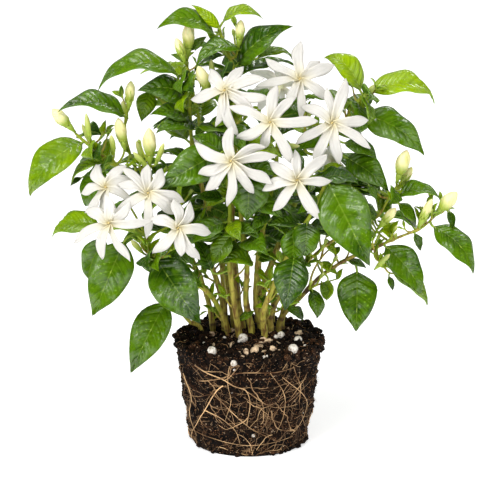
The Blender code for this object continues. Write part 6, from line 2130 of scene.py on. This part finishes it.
def bud_look():
    """Furled bud: green foot, cream middle, and a greenish line along each furl."""
    paint = Paint("bud_skin", 0.42, Subsurface_Weight=0.12, Subsurface_Scale=0.001)
    tone = paint.tone()
    veins = paint.noise(230, 3, paint.place((1, 1, 0.35)))
    cream = paint.mix(paint.step(veins, 0.4, 0.75), (0.86, 0.8, 0.42), (0.7, 0.68, 0.22))
    green = paint.mix(veins, (0.27, 0.4, 0.03), (0.48, 0.56, 0.08))
    paint.colour(paint.mix(paint.step(tone, 0.02, 0.5), green, cream))
    paint.bump(veins, 0.00015, 0.5)
    return paint.material


def soil_look():
    """Dark peat: painted shade makes its hollows blackish, painted light brightens its clods, brown bits are
    partly painted glints, and pale bits of fibre.
    """
    paint = Paint("soil_peat", 0.85, Specular_IOR_Level=0.12)
    clods = paint.noise(330, 5)
    crumbs = paint.noise(1100, 4)
    fibres = paint.noise(800, 3, paint.place((0.6, 0.6, 1)))
    # Painted shade: where the clods pattern is low, which is also low in the relief, the peat is painted
    # almost black
    brown = paint.mix(paint.step(clods, 0.4, 0.66), (0.001, 0.0006, 0.0004), (0.01, 0.0045, 0.002))
    # Painted light on the side's clods, through the soil body's tone; on loose crumbs that tone differs at
    # random
    clod_light_and_crumb_tone = paint.maths("MULTIPLY", paint.step(paint.tone(), 0.5, 1.1), 0.8)
    brown = paint.mix(clod_light_and_crumb_tone, brown, (0.056, 0.024, 0.0105))
    # Brown bits on the highest crumbs of the relief: partly lighter peat, partly painted glints
    spread = paint.step(paint.noise(170, 2), 0.4, 0.62)
    specks_and_glints = paint.maths("MULTIPLY", paint.step(crumbs, 0.6, 0.67), spread)
    brown = paint.mix(paint.maths("MULTIPLY", specks_and_glints, 0.85), brown, (0.44, 0.2, 0.085))
    brown = paint.mix(paint.maths("MULTIPLY", paint.step(fibres, 0.66, 0.69), 0.8), brown, (0.62, 0.44, 0.28))
    paint.colour(brown)
    height = paint.maths("ADD", paint.maths("MULTIPLY", clods, 0.8), paint.maths("MULTIPLY", crumbs, 0.6))
    paint.bump(height, 0.002, 1.0)
    return paint.material


def root_look(name, dark, pale):
    """Tan skin of a root or fibre, lighter or darker by its tone."""
    paint = Paint(name, 0.65, Specular_IOR_Level=0.3)
    streaks = paint.noise(520, 3)
    tone = paint.tone()
    uneven = paint.maths("MULTIPLY_ADD", streaks, 0.6, -0.4)
    shade = paint.maths("MULTIPLY_ADD", tone, 1.1, uneven, clamp=True)
    paint.colour(paint.mix(shade, dark, pale))
    paint.bump(streaks, 0.0002, 0.6)
    return paint.material


def grain_look(name, dark, pale, scale, roughness=0.85, stretch=None):
    """Pitted grain of perlite or bark."""
    paint = Paint(name, roughness)
    pits = paint.noise(scale, 4, paint.place(stretch))
    # Darker where the relief is low: on perlite this is painted shade in its pits, on bark it is also the
    # chip's own grain
    paint.colour(paint.mix(paint.step(pits, 0.3, 0.6), dark, pale))
    paint.bump(pits, 0.0005, 0.8)
    return paint.material


def all_looks():
    """Every material, by the name that the builders ask for."""
    return {
        "leaf_top": leaf_look("leaf_top", (0.015, 0.054, 0.001), (0.07, 0.158, 0.001),
                              (0.28, 0.42, 0.002), (0.3, 0.44, 0.05), LEAF_ROUGHNESS),
        "leaf_under": leaf_look("leaf_underside", (0.045, 0.115, 0.014), (0.12, 0.25, 0.022),
                                (0.3, 0.48, 0.04), (0.32, 0.46, 0.14), 0.6, underside=True),
        "stalk": plain_green("leaf_stalk", (0.15, 0.27, 0.012), (0.28, 0.4, 0.025), (0.4, 0.52, 0.05)),
        "wood": wood_look(),
        "calyx": plain_green("calyx_green", (0.2, 0.34, 0.02), (0.36, 0.48, 0.04), (0.5, 0.58, 0.1)),
        # One white petal painted at two brightnesses: the brighter petal_back is painted light that lifts
        # petals seen in shade, and the second colour of each is painted shade for the folds
        "petal": petal_look("petal_face", (0.67, 0.65, 0.605), (0.585, 0.555, 0.51), 0.55),
        "petal_back": petal_look("petal_back", (0.8, 0.78, 0.735), (0.72, 0.695, 0.65), 0.5),
        "throat": throat_look(),
        "anther": anther_look(),
        "bud": bud_look(),
        "soil": soil_look(),
        "root": root_look("root_skin", (0.11, 0.046, 0.015), (0.95, 0.62, 0.31)),
        "hair": root_look("root_hair", (0.08, 0.036, 0.013), (0.62, 0.38, 0.19)),
        "fibre": root_look("root_fibre", (0.08, 0.038, 0.016), (0.4, 0.22, 0.1)),
        "perlite": grain_look("perlite_grain", (0.3, 0.24, 0.18), (0.84, 0.79, 0.71), 620),
        "bark": grain_look("bark_chip", (0.11, 0.055, 0.025), (0.76, 0.56, 0.36), 420, 0.8, (0.3, 1, 1)),
    }


# Stage
def build_stage():
    """Pale floor, soft lights and the photograph's camera."""
    data = bpy.data.meshes.new("floor")
    reach = FLOOR_REACH
    corners = [(-reach, -reach, 0), (reach, -reach, 0), (reach, reach, 0), (-reach, reach, 0)]
    data.from_pydata(corners, [], [(0, 1, 2, 3)])
    floor = bpy.data.objects.new("floor", data)
    bpy.context.scene.collection.objects.link(floor)
    paint = Paint("floor_paper", 0.9, Specular_IOR_Level=0.1)
    paint.colour(paint.mix(paint.noise(3, 2), (0.78, 0.78, 0.78), (0.8, 0.8, 0.8)))
    paint.shader.inputs["Emission Color"].default_value = (1, 1, 1, 1)
    paint.shader.inputs["Emission Strength"].default_value = FLOOR_GLOW
    data.materials.append(paint.material)
    world = bpy.data.worlds.new("studio")
    world.use_nodes = True
    sky = world.node_tree.nodes["Background"]
    sky.inputs["Color"].default_value = (1.0, 1.0, 1.0, 1)
    sky.inputs["Strength"].default_value = SKY_STRENGTH
    bpy.context.scene.world = world
    sun = bpy.data.lights.new("sun", "SUN")
    sun.energy, sun.angle = SUN_POWER, SUN_SPREAD
    holder = bpy.data.objects.new("sun", sun)
    holder.rotation_euler = (-SUN_FROM).to_track_quat("-Z", "Y").to_euler()
    bpy.context.scene.collection.objects.link(holder)
    for name, place, size, power, colour in LIGHTS:
        lamp = bpy.data.lights.new(name, "AREA")
        lamp.shape = "DISK"
        lamp.size = size
        lamp.energy = power
        lamp.color = colour
        holder = bpy.data.objects.new(name, lamp)
        holder.location = place
        holder.rotation_euler = (LIGHT_AIM - Vector(place)).to_track_quat("-Z", "Y").to_euler()
        bpy.context.scene.collection.objects.link(holder)
    lens = bpy.data.cameras.new("camera")
    lens.sensor_fit = "HORIZONTAL"
    lens.sensor_width = SENSOR
    lens.lens = SENSOR * VIEW_DISTANCE / PIXEL / VIEW_WIDTH
    lens.clip_start, lens.clip_end = CLIP_SPAN
    camera = bpy.data.objects.new("camera", lens)
    camera.location = EYE
    camera.rotation_euler = FORWARD.to_track_quat("-Z", "Y").to_euler()
    bpy.context.scene.collection.objects.link(camera)
    bpy.context.scene.camera = camera
    bpy.context.scene.view_settings.view_transform = "Standard"


def main():
    """The whole scene: stage, materials, plan, then the pieces."""
    build_stage()
    looks = all_looks()
    room, plan = plan_plant()
    place_marked(room, plan)
    place_fillers(room, plan)
    place_shoots(room, plan)
    build_leaves(plan, looks)
    build_wood(plan, looks)
    build_calyces(plan, looks)
    build_buds(plan, looks)
    build_blooms(plan, looks)
    build_soil(looks)
    build_grains(looks)
    build_roots(looks)


main()
